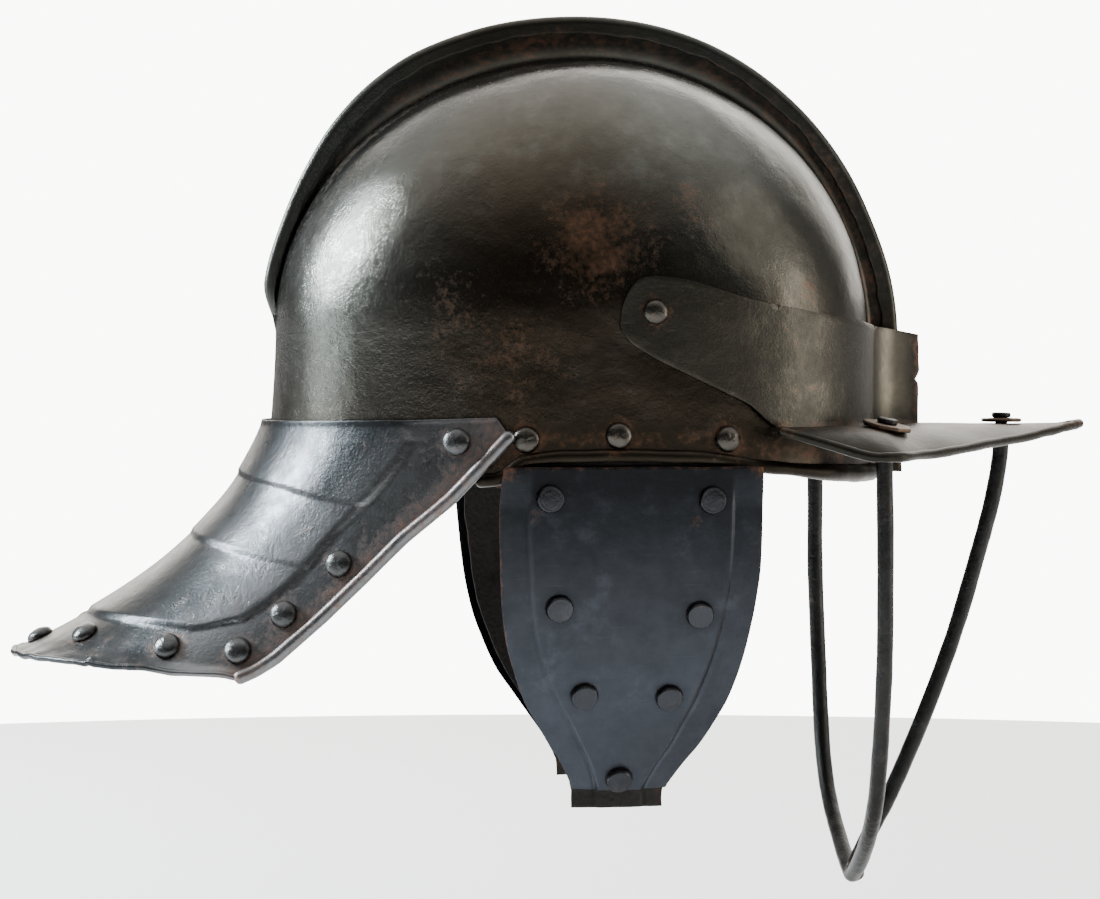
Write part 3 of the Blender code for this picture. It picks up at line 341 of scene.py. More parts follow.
def tube(name, path, radius, around=14):
    """Round bar along a path, with rounded ends; radius(share, turn) may vary."""
    count = len(path)
    frames = []
    side = Vector((0, 0, 1)) if abs((path[1] - path[0]).normalized().z) < 0.9 else Vector((0, 1, 0))
    for k, point in enumerate(path):
        along = (path[min(k + 1, count - 1)] - path[max(k - 1, 0)]).normalized()
        side = (side - along * side.dot(along)).normalized()
        frames.append((point, along, side, along.cross(side)))

    def place(u, v):
        k = round(v * (count + 3))
        turn = 2 * math.pi * u
        inner = min(max(k - 2, 0), count - 1)
        point, along, first, second = frames[inner]
        wide = radius(inner / (count - 1), turn)
        if k < 2 or k > count + 1:
            # The two rings that close an end: share of the radius, and how far out they stand
            narrow, out = {0: (0.0, 1.0), 1: (0.75, 0.62)}[k if k < 2 else count + 3 - k]
            point = point - along * wide * out * (1 if k < 2 else -1) * 0.8
            wide *= narrow
        return point + (first * math.cos(turn) + second * math.sin(turn)) * wide

    piece = join(name, [shaped_grid(name, around, count + 3, place)], 0.000002)
    score = 0.0
    for face in list(piece.data.polygons)[::7]:
        near = min(path, key=lambda p: (p - face.center).length_squared)
        score += face.normal.dot(face.center - near)
    if score < 0:
        piece.data.flip_normals()
    return piece


def paint(piece, name, value):
    """A number stored on every point, for the material to read."""
    layer = piece.data.attributes.new(name, "FLOAT", "POINT")
    layer.data.foreach_set("value", [value(point.co) for point in piece.data.vertices])


def near_spots(spots):
    """Strength from 0 to 1 by the distance to the nearest of some (place, radius, strength) spots."""
    def value(point):
        most = 0.0
        for place, radius, strength in spots:
            far = (point - place).length / radius
            if far < 1.0:
                most = max(most, strength * (1 - ease(far)))
        return most
    return value


def finish_piece(piece, body, finish, nodes, angle):
    """Smooth shading, material, and what the piece rides on and stands for."""
    pick(piece)
    bpy.ops.object.shade_smooth_by_angle(angle=math.radians(angle))
    piece.data.materials.clear()
    piece.data.materials.append(finish)
    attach(piece, body)
    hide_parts(*nodes)


# Finishes

def add(tree, kind, inputs=None, **values):
    """One node with its settings, values and links."""
    made = tree.nodes.new(kind)
    for name, value in values.items():
        setattr(made, name, value)
    for key, value in (inputs or {}).items():
        socket = made.inputs[key]
        if isinstance(value, bpy.types.NodeSocket):
            tree.links.new(value, socket)
        else:
            socket.default_value = value
    return made


def new_finish(name):
    made = bpy.data.materials.new(name)
    made.use_nodes = True
    tree = made.node_tree
    return made, tree, tree.nodes["Principled BSDF"]


def rgba(colour, gain=1.0):
    return (*(c * gain for c in colour), 1.0)


def cloudy(tree, place, scale, detail=2.0, roughness=0.5):
    """Even noise with lumps of about one metre over the scale."""
    return add(tree, "ShaderNodeTexNoise", {"Vector": place, "Scale": scale, "Detail": detail,
                                            "Roughness": roughness}).outputs["Fac"]


def mapped(tree, value, low, high, to_low=0.0, to_high=1.0, curve="LINEAR"):
    """The range from low to high brought to another one, and held at its ends."""
    return add(tree, "ShaderNodeMapRange", {"Value": value, "From Min": low, "From Max": high,
                                            "To Min": to_low, "To Max": to_high},
               interpolation_type=curve).outputs[0]


def worked_out(tree, operation, first, second, **values):
    return add(tree, "ShaderNodeMath", {0: first, 1: second}, operation=operation, **values).outputs[0]


def mixed(tree, share, first, second, kind="RGBA"):
    return add(tree, "ShaderNodeMix", {"Factor": share, "A": first, "B": second},
               data_type=kind).outputs["Result"]


def painted(tree, name):
    """A number stored on the points by paint()."""
    return add(tree, "ShaderNodeAttribute", attribute_name=name).outputs["Fac"]


def bumped(tree, height, strength, distance, **under):
    """Normal of a bumped skin, over another one if it is given as Normal."""
    return add(tree, "ShaderNodeBump", {"Height": height, "Strength": strength, "Distance": distance,
                                        **under}).outputs[0]


def wire(tree, shader, **sources):
    """Sockets linked to the shader's inputs, whose names have spaces for underscores."""
    for name, source in sources.items():
        tree.links.new(source, shader.inputs[name.replace("_", " ")])


def old_steel(name, base, rubbed_and_sheen, rough, pits, hammer, rubbed_share=0.12, rust_share=-0.06, streaks=0.3):
    """Forged sheet that has oxidised for centuries: oxide clouded over the steel, lighter where it is worn
    and where a painted sheen is laid on, darker under painted shade in the folds, brown in corners and round
    rivets, with fine scratches, hammer facets that break up the shine, and pits."""
    made, tree, shader = new_finish(name)
    place = add(tree, "ShaderNodeTexCoord").outputs["Object"]
    # Clouds of 30 mm, mottling of 8 mm, specks of 2 mm, grain of 0.8 mm
    clouds = cloudy(tree, place, 33.0, 4.0, 0.6)
    mottle = cloudy(tree, place, 125.0, 7.0, 0.66)
    specks = cloudy(tree, place, 480.0, 5.0, 0.68)
    grain = cloudy(tree, place, 1250.0, 3.0, 0.6)
    share = mapped(tree, worked_out(tree, "ADD", clouds, mottle), 1.16 - rubbed_share, 1.40 - rubbed_share,
                   0.0, 0.22)
    # Lighter where the steel is worn and where painted sheens and highlights are laid on
    shine = worked_out(tree, "ADD", share, painted(tree, "wear_and_sheen"), use_clamp=True)
    steel = mixed(tree, shine, rgba(base), rgba(rubbed_and_sheen))
    # Scratches: noise drawn out along one way, of which only the thin crests count
    drawn = add(tree, "ShaderNodeMapping", {"Vector": place, "Rotation": (0.5, 0.3, 0.9),
                                            "Scale": (60.0, 1700.0, 1700.0)}).outputs[0]
    crest = mapped(tree, cloudy(tree, drawn, 1.0), 0.66, 0.80, 0.0, streaks)
    steel = mixed(tree, crest, steel, rgba(rubbed_and_sheen, 1.3))
    # Painted shade: darker in the folds and round what stands proud, where light is shut out; the same paint
    # makes the steel rougher, as grease would
    shade_and_grease = painted(tree, "shade_and_grease")
    dark = worked_out(tree, "MULTIPLY", mapped(tree, mottle, 0.34, 0.66, 0.90, 1.10),
                      mapped(tree, shade_and_grease, 0.0, 1.0, 1.0, 0.3))
    shaded = add(tree, "ShaderNodeVectorMath", {0: steel, "Scale": dark}, operation="SCALE").outputs[0]
    # Rust follows the painted corners, broken up by the mottling and the specks
    broken = worked_out(tree, "ADD", painted(tree, "rust"), worked_out(tree, "ADD", mottle, specks))
    rusty = mapped(tree, broken, 1.10 - rust_share, 1.75 - rust_share, 0.0, 0.9)
    rust = settings().rust
    rust_colour = mixed(tree, specks, rgba(rust, 0.25), rgba(rust, 1.6))
    gloss = mapped(tree, mottle, 0.34, 0.66, rough + 0.05, rough - 0.04)
    greasy = mixed(tree, shade_and_grease, gloss, 0.48, "FLOAT")
    # Hammer facets of 9 mm, pits of 2 mm, then the grain
    skin_normal = bumped(tree, cloudy(tree, place, 110.0, 1.5), hammer, 0.0015)
    deep = mapped(tree, painted(tree, "pitted"), 0.0, 1.0, pits, 0.36)
    skin_normal = bumped(tree, mapped(tree, specks, 0.32, 0.62), deep, 0.00018, Normal=skin_normal)
    wire(tree, shader, Base_Color=mixed(tree, rusty, shaded, rust_colour),
         Metallic=mapped(tree, rusty, 0.0, 1.0, 1.0, 0.4),
         Roughness=mixed(tree, rusty, greasy, 0.62, "FLOAT"),
         Normal=bumped(tree, grain, deep, 0.00028, Normal=skin_normal))
    return made


def old_leather(name):
    """Vegetable-tanned hide gone black and dry: pebbled grain, greyed high spots, no shine."""
    made, tree, shader = new_finish(name)
    place = add(tree, "ShaderNodeTexCoord").outputs["Object"]
    # Pebbles of 1.6 mm and creases of 9 mm; the real grain is finer and is drawn coarser to show
    pebble = add(tree, "ShaderNodeTexVoronoi", {"Vector": place, "Scale": 620.0}, feature="F1")
    crease = cloudy(tree, place, 110.0, 6.0, 0.7)
    hide = settings().hide
    colour = mixed(tree, crease, rgba(hide, 0.6), rgba(hide, 1.9))
    rusty = mapped(tree, worked_out(tree, "ADD", painted(tree, "rust"), crease), 0.85, 1.2)
    shader.inputs["Roughness"].default_value = 0.72
    shader.inputs["Specular IOR Level"].default_value = 0.3
    pebbled = bumped(tree, pebble.outputs["Distance"], 0.5, 0.0004)
    wire(tree, shader, Base_Color=mixed(tree, rusty, colour, rgba(linear("#3a1d12"))),
         Normal=bumped(tree, crease, 0.5, 0.001, Normal=pebbled))
    return made


# Skull

def dome_radius(angle):
    length = SKULL_FRONT if angle < math.pi / 2 else SKULL_BACK
    return 1 / math.hypot(math.cos(angle) / length, math.sin(angle) / SKULL_HEIGHT)


DOME_SHARE = 0.66
FLANK_SHARE = 0.93
DOME_TURN = math.acos((COMB_FLANK / SKULL_HALF_WIDTH) ** (FULLNESS / 2))


def comb_rise(angle):
    return smooth(COMB_LINE, angle / math.pi) * COMB_HEIGHT - HEM_RADIUS


def comb_edge(angle):
    """Rise of the comb over the dome, the straight part under its hem, and its half width there."""
    rise = max(comb_rise(angle), 0.0)
    return rise, min(HEM_DEPTH - HEM_RADIUS + GAP, rise * 0.5), blend(SEAM / 2, FLANGE, ease(rise / GAP))


def section_point(angle, s):
    """Reach and half width of a skull half: s is 0 at the side pole and 1 at the comb's edge."""
    radius = dome_radius(angle)
    if s <= DOME_SHARE:
        part = DOME_TURN * s / DOME_SHARE
        return radius * math.sin(part) ** (2 / FULLNESS), SKULL_HALF_WIDTH * math.cos(part) ** (2 / FULLNESS)
    rise, straight, edge = comb_edge(angle)
    if s > FLANK_SHARE:
        return radius + rise - straight * (1 - (s - FLANK_SHARE) / (1 - FLANK_SHARE)), edge
    foot = (radius * math.sin(DOME_TURN) ** (2 / FULLNESS), COMB_FLANK)
    near = (round_reach(COMB_FLANK * FLANK_NEAR, radius, SKULL_HALF_WIDTH), COMB_FLANK * FLANK_NEAR)
    far = (radius + (rise - straight) * FLANK_FAR, edge)
    top = (radius + rise - straight, edge)
    return bezier(foot, near, far, top, (s - DOME_SHARE) / (FLANK_SHARE - DOME_SHARE))


def flared(reach, depth, front):
    share = max(depth, 0.0) / RIM_DROP
    length, flare = (SKULL_FRONT, FRONT_FLARE) if front else (SKULL_BACK, BACK_FLARE)
    return reach * (1 + flare / length * share ** 1.5)


def rim_depth(x):
    reach = x - POLE_X
    return smooth(RIM_LINE, reach / (SKULL_FRONT if reach > 0 else SKULL_BACK)) * RIM_DROP


def rim_below(x):
    """Drop of the rim at x, the whole drop beyond the skull's ends."""
    return rim_depth(x) if abs(x - POLE_X) < 0.12 else RIM_DROP


def skull_width(x, z):
    reach, rise = x - POLE_X, z + SKULL_HEIGHT
    if rise > 0:
        return round_width(math.hypot(reach, rise), dome_radius(math.atan2(rise, reach)), SKULL_HALF_WIDTH)
    length = SKULL_FRONT if reach > 0 else SKULL_BACK
    return round_width(reach, flared(length, -rise, reach > 0), SKULL_HALF_WIDTH)


def side_normal(width, x, z, side):
    step = 0.001
    slope_x = (width(x + step, z) - width(x - step, z)) / (2 * step)
    slope_z = (width(x, z + step) - width(x, z - step)) / (2 * step)
    return Vector((-slope_x, side, -slope_z)).normalized()


def side_place(width, x, z, side):
    return Vector((x, side * width(x, z), z)), side_normal(width, x, z, side)


def skull_place(along, down, side):
    x = POLE_X + along * (SKULL_FRONT if along > 0 else SKULL_BACK)
    return side_place(skull_width, x, -SKULL_HEIGHT - down * RIM_DROP, side)


def pivot_point(side):
    return Vector((PIVOT_X, side * BAND_WIDTH, -SKULL_HEIGHT + PIVOT_RISE)), Vector((0, side, 0))


def dome_place(angle, s, side):
    reach, width = section_point(angle, s)
    return Vector((POLE_X + reach * math.cos(angle), side * width, reach * math.sin(angle) - SKULL_HEIGHT))


def wall_place(t, k, side):
    """Below the pole's level: t goes from the front comb round the side to the back."""
    front = t < 0.5
    reach, width = section_point(0.0 if front else math.pi, abs(1 - 2 * t))
    sign = 1 if front else -1
    depth = rim_depth(POLE_X + sign * reach)
    return Vector((POLE_X + sign * flared(reach, depth * k, front), side * width, -SKULL_HEIGHT - depth * k))


def hem_place(reach, edge, straight, k, wave):
    """Turned-over edge in section: round the top, then down the other half's flange."""
    middle = edge - HEM_RADIUS
    if k < 0.6:
        turn = math.pi * k / 0.6
        return reach + HEM_RADIUS * math.sin(turn), middle + HEM_RADIUS * math.cos(turn)
    return reach - (straight - GAP + wave) * (k - 0.6) / 0.4, edge - 2 * HEM_RADIUS


def comb_hem():
    """The comb's turned-over edge, along the crown and down the brow."""
    def hem(angle, k, low=0.0):
        rise, straight, edge = comb_edge(angle)
        spot = Vector((math.cos(angle), 0, math.sin(angle) - low)) * 0.1
        wave = 0.0007 * ripple(spot, 0.009, 3.0) + 0.0005 * ripple(spot, 0.003, 5.0)
        return hem_place(dome_radius(angle) + rise, edge, straight, k, wave)

    def crest(u, k):
        angle = math.pi * u
        reach, width = hem(angle, k)
        fade = math.sqrt(ease((math.pi - angle) / 0.15))
        reach, width = blend(dome_radius(angle) - 0.0008, reach, fade), width * fade
        return Vector((POLE_X + reach * math.cos(angle), width, reach * math.sin(angle) - SKULL_HEIGHT))

    def brow(u, k):
        reach, width = hem(0.0, k, u)
        depth = rim_depth(POLE_X + reach) * u
        return Vector((POLE_X + flared(reach, depth, True), width, -SKULL_HEIGHT - depth))

    return [shaped_grid("crest", 150, 12, crest), shaped_grid("brow", 18, 12, brow)]


def rim_roll(side):
    path = []
    for k in range(81):
        share = math.sin(blend(math.asin(RIM_ROLL_ENDS[0]), math.asin(RIM_ROLL_ENDS[1]), k / 80))
        reach = share * (SKULL_FRONT if share > 0 else SKULL_BACK)
        depth = rim_depth(POLE_X + reach)
        x = POLE_X + flared(reach, depth, reach > 0)
        spot, normal = side_place(skull_width, x, -SKULL_HEIGHT - depth, side)
        path.append(spot + normal * (RIM_ROLL * ROLL_OUT) + Vector((0, 0, 0.0004 * ripple(spot, 0.02, 2.0))))

    def thick(share, turn):
        lumps = ripple(skin(share, turn, 0.2), 0.008, side)
        return RIM_ROLL * (1 + 0.4 * ease((share - 0.6) / 0.1) + 0.10 * lumps)

    return tube("rim_roll", path, thick)


def skull_half(side):
    """Dome, wall and rolled rim of one half; the left one carries the comb's turned-over edge."""
    grids = [
        shaped_grid("dome", 150, 52, lambda u, v: dome_place(math.pi * u, v, side)),
        shaped_grid("wall", 104, 18, lambda u, v: wall_place(u, v, side)),
    ]
    if side > 0:
        grids += comb_hem()
    half = join("skull_half", grids, 0.00003)
    turn_outward(half, lambda p: p - POLE if p.z > -SKULL_HEIGHT else Vector((p.x - POLE_X, p.y, 0)))
    if side > 0:
        turn_outward(half, lambda p: Vector((0, 1, 0)) if p.y > 0.03 else Vector((0, 0, 0)))
    depth = settings().hammer_depth

    def blows(point, normal):
        calm = ease((abs(point.y) - 0.004) / 0.012)
        return calm * depth * (1.5 * ripple(point, 0.034) + 0.8 * ripple(point, 0.015, 4.0)
                               + 0.35 * ripple(point, 0.0075, 9.0))

    dent(half, blows)
    make_sheet(half, SHEET, 0.0003, 60)
    half = join("skull_half", [half, rim_roll(side)])
    paint_skull(half, side)
    return half


def paint_skull(half, side):
    rivets = [skull_place(along, down, side)[0] for along, down in SKULL_RIVETS]
    spots = [(p, 0.011, 0.62) for p in rivets + [pivot_point(side)[0]]]
    spots += [(Vector((x, side * y, z)), radius, strength) for x, y, z, radius, strength in SKULL_RUST]
    near = near_spots(spots)

    def rusting(point):
        low = ease(1 - abs(point.z + SKULL_HEIGHT + rim_below(point.x) - 0.006) / 0.006) * 0.30
        comb = ease(1 - abs(math.hypot(point.x - POLE_X, point.z + SKULL_HEIGHT) - 0.104) / 0.008) * 0.30
        return max(near(point), low, comb if abs(point.y) < 0.014 and point.z > -SKULL_HEIGHT else 0.0)

    # Painted shade on the comb's flank and hem, along the rim roll and the wall over it, under the peak's arm
    # and in rings round the rivets; towards the front it darkens a little and roughens the steel
    def shade_and_grease_at(point):
        reach = math.hypot(point.x - POLE_X, point.z + SKULL_HEIGHT)
        over = reach - dome_radius(math.atan2(max(point.z + SKULL_HEIGHT, 0.0), point.x - POLE_X))
        comb = ease((over - 0.0002) / 0.0025) * ease((0.020 - abs(point.y)) / 0.004)
        rim = rim_below(point.x)
        low = 0.4 * ease(1 - abs(point.z + SKULL_HEIGHT + rim - 0.006) / 0.010)
        low = max(low, 0.95 * ease(1 - abs(point.z + SKULL_HEIGHT + rim) / 0.004))
        arm = 0.5 * ease((point.x - 0.05) / 0.02) * ease((-0.122 - point.z) / 0.012)
        arm = max(arm, 0.35 * ease((point.x - 0.045) / 0.03))
        rings = (0.6 * ease(1 - ((point - p).length - 0.003) / 0.004) for p in rivets)
        return max(0.5 * comb, low, arm, *rings)

    paint(half, "rust", rusting)
    # Painted sheen: the steel is lighter over the top of the dome and at the front by the comb, where soft
    # sheens fall; it is also lighter and greyer over the rear upper part
    paint(half, "wear_and_sheen", lambda p: 0.75 * ease((-p.x - 0.03) / 0.065) * ease((p.z + 0.165) / 0.08)
          + 0.30 * ease((p.z + 0.06) / 0.04) + 0.40 * ease((p.x + 0.01) / 0.04) * ease((p.z + 0.11) / 0.04))
    paint(half, "pitted", lambda p: ease((-p.x - 0.01) / 0.08) * ease((0.01 - p.z) / 0.06))
    paint(half, "shade_and_grease", shade_and_grease_at)


# Neck guard

def tail_point(row, share, side):
    """Row from the top edge down, share from the middle to the side."""
    along = bezier(*TAIL_CURVE, row)
    top_reach = flared(SKULL_BACK, TAIL_TOP, False) + GAP + TAIL_ROOM + SHEET
    length = top_reach + along[0] * TAIL_LENGTH
    width = SKULL_HALF_WIDTH + GAP + SHEET + smooth(TAIL_WIDTH, row) * TAIL_SPREAD
    side_x = -TAIL_CORNER_X - look_up(TAIL_SIDE, row) * TAIL_SIDE_REACH
    side_z = -SKULL_HEIGHT - TAIL_CORNER_DROP - look_up(TAIL_SIDE, row, 2) * TAIL_SIDE_DROP
    centre_z = -SKULL_HEIGHT - TAIL_TOP - along[1] * TAIL_DROP
    end = math.acos(min(1.0, (POLE_X - side_x) / length) ** (FULLNESS / 2))
    turn = end * share
    return Vector((POLE_X - length * math.cos(turn) ** (2 / FULLNESS),
                   side * width * math.sin(turn) ** (2 / FULLNESS),
                   blend(centre_z, side_z, share ** TAIL_EDGE_POWER)))


def tail_place(row, share, side):
    step = 0.01
    point = tail_point(row, share, side)
    along = tail_point(row + step, share, side) - tail_point(row - step, share, side)
    across = tail_point(row, share + step, side) - tail_point(row, share - step if share else share, side)
    normal = across.cross(along).normalized() * side
    return point, -normal if normal.x > 0 and share < 0.2 or normal.y * side < 0 else normal


# Embossed lines of the neck guard: share from the middle, row of the line
LAMES = (
    ((0.0, 0.235), (0.42, 0.28), (0.69, 0.33), (1.0, 0.35)),
    ((0.0, 0.50), (0.34, 0.53), (0.74, 0.575), (1.0, 0.59)),
)
# Border by row: share from the middle where it starts; the row of its rear line
BORDER = ((0.0, 0.74), (0.15, 0.78), (0.42, 0.80), (0.65, 0.83), (0.84, 0.80), (1.0, 0.74))
BORDER_ROW = 0.835


def emboss(row, share):
    """Height of the neck guard's relief."""
    values = settings()
    side = ease((smooth(BORDER, row) - share) / 0.022 + 0.5)
    corner = BORDER_ROW - 0.05 * ease((share - 0.70) / 0.12)
    field = side * ease((corner - row) / 0.022 + 0.5)
    rows = [0.0] + [smooth(line, share) for line in LAMES] + [corner]
    height = 0.0
    for low, high in zip(rows, rows[1:]):
        if low <= row <= high:
            inside = (row - low) / (high - low)
            height = inside * 0.5
            if high != corner:
                height = ease(inside / 0.9) * (1 - ease((inside - 0.955) / 0.045))
    groove = math.exp(-((smooth(BORDER, row) - share - 0.008) / 0.008) ** 2) * ease((corner - row) / 0.02)
    height *= 1 - 0.6 * ease((share - 0.5) / 0.2)
    return field * (values.border_step + values.lame_step * height) - 0.0003 * groove


def neck_guard():
    def place(u, v):
        share = 2 * u - 1
        side = 1.0 if share > 0 else -1.0
        point = tail_point(v, abs(share), side)
        normal = tail_place(min(max(v, 0.011), 0.989), max(min(abs(share), 0.98), 0.011), side)[1]
        ragged = ease((v - 0.93) / 0.07)
        point.z += ragged * (0.0011 * ripple(point, 0.021, 7.0) + 0.0006 * ripple(point, 0.007, 2.0))
        nick = Vector((-0.1735, -0.0497, -0.2067))
        point.z += ragged * 0.003 * ease(1 - (point - nick).length / 0.003)
        lip = ease(v / -0.03 + 1) * 0.0003
        return point + normal * (emboss(v, abs(share)) + lip)

    guard = shaped_grid("neck_guard", 168, 110, place)
    turn_outward(guard, lambda p: Vector((p.x - POLE_X, p.y, 0)))
    dent(guard, lambda p, n: 0.00018 * ripple(p, 0.028, 1.0) + 0.00005 * ripple(p, 0.010, 6.0))
    make_sheet(guard, SHEET, 0.0004, 50)
    shells = [guard]
    for side in SIDES.values():
        path = []
        for k in range(61):
            row = 0.10 + 0.90 * k / 60
            normal = tail_place(min(row, 0.989), 1.0, side)[1]
            point = tail_point(row, 1.0, side)
            path.append(point + normal * (TAIL_ROLL * ROLL_OUT) + normal * 0.0002 * ripple(point, 0.025, 3.0))
        shells.append(tube("neck_roll", path, lambda share, turn: TAIL_ROLL * (
            1 + 0.035 * ripple(skin(share, turn, 0.14), 0.009, side))))
    # The rear edge is hammered thin and turned a little
    rear = [place(k / 120, 1.0) - Vector((0, 0, 0.0002)) for k in range(121)]
    shells.append(tube("rear_roll", rear, lambda share, turn: 0.0011 * (1 + 0.2 * ripple(
        Vector((share * 0.26, math.cos(turn) * 0.002, 0)), 0.010)), 12))
    guard = join("neck_guard_dressed", shells)
    rivets = [tail_place(row, share, side)[0] for row, share in TAIL_RIVETS for side in SIDES.values()]
    near = near_spots([(p, 0.0095, 0.55) for p in rivets])
    inner = [[tail_point(k / 40, 0.97, side) for k in range(41)] for side in SIDES.values()]
    edges = [[tail_point(k / 60, 1.0, side) for k in range(61)] for side in SIDES.values()]

    def gap_to(pair, point):
        """Distance to the line on the point's own side."""
        return min((point - p).length for p in pair[0 if point.y < 0 else 1])

    paint(guard, "rust", lambda p: max(near(p), 0.42 * ease(1 - gap_to(inner, p) / 0.009)))
    paint(guard, "wear_and_sheen", lambda p: max(0.20 * ease(1 - abs(p.z + 0.158) / 0.035),
                                       0.95 * ease(1 - (gap_to(edges, p) - 0.018) / 0.02)))
    # Painted shade in rings round the rivet heads
    paint(guard, "shade_and_grease", near_spots([(p, 0.0085, 0.6) for p in rivets]))
    return guard


# Peak

def band_front_section():
    comb_top = dome_radius(0.0) + comb_rise(0.0) + HEM_RADIUS
    front = comb_top + KEEL_REACH
    foot_reach = round_reach(KEEL_FLANK, BAND_RADIUS, BAND_WIDTH)
    clear = FLANGE + GAP + SHEET + SHEET + BAND_ROOM
    near = (foot_reach + KEEL_FLANK * KEEL_NEAR[0], clear * KEEL_NEAR[1])
    far = (comb_top + KEEL_REACH * KEEL_FAR[0], clear * KEEL_FAR[1])
    return foot_reach, front, (near, far)


def band_plan(share):
    """Plan of the band's front: 0 to 1 from arm to keel's foot, 1 to 2 on the keel's flank."""
    foot_reach, front, (near, far) = band_front_section()
    if share <= 1:
        start = ARM_START + ARM_REACH
        turn = blend(math.asin(start / BAND_RADIUS), math.asin(foot_reach / BAND_RADIUS), share)
        reach = BAND_RADIUS * math.sin(turn)
        return POLE_X + reach, round_width(reach, BAND_RADIUS, BAND_WIDTH)
    point = bezier((foot_reach, KEEL_FLANK), near, far, (front, 0.0), share - 1)
    return POLE_X + point[0], point[1]


def band_heights(x):
    start = POLE_X + ARM_START + ARM_REACH
    share = (x - start) / (POLE_X + band_front_section()[1] - start)
    line = -SKULL_HEIGHT + BAND_TOP_RISE
    return line - BAND_TOP_FALL * share, line - BAND_HEIGHT


BRIM_STEPS = tuple((k, *row) for k, row in enumerate(BRIM_LINE))


def brim_point(row, out, exact=False):
    read = look_up if exact else smooth
    share, along, width, droop = (read(BRIM_STEPS, row, column) for column in (1, 2, 3, 4))
    x, y = band_plan(share)
    bottom = band_heights(x)[1]
    corner = POLE_X + ARM_START + ARM_REACH
    edge = (corner + along * BRIM_LENGTH, width * BRIM_HALF_WIDTH)
    return Vector((blend(x, edge[0], out), blend(y, edge[1], out),
                   bottom - droop * BRIM_DROOP * out ** DROOP_POWER))


def brim_place(row, out, side):
    point = brim_point(row, out, True)
    along = brim_point(row + 0.05, out, True) - brim_point(row - 0.05, out, True)
    across = brim_point(row, out + 0.02, True) - brim_point(row, out - 0.02, True)
    normal = along.cross(across).normalized()
    if normal.z < 0:
        normal = -normal
    point.y *= side
    normal.y *= side
    return point, normal


LAST_STEP = len(BRIM_LINE) - 1


def washer_places():
    centre = brim_point(LAST_STEP, CENTRE_HOLE, True)
    slope = brim_point(LAST_STEP, CENTRE_HOLE + 0.04, True) - brim_point(LAST_STEP, CENTRE_HOLE - 0.04, True)
    places = {name: brim_place(*SIDE_HOLE, side) for name, side in SIDES.items()}
    return {**places, "centre": (centre, Vector((-slope.z, 0, slope.x)).normalized())}


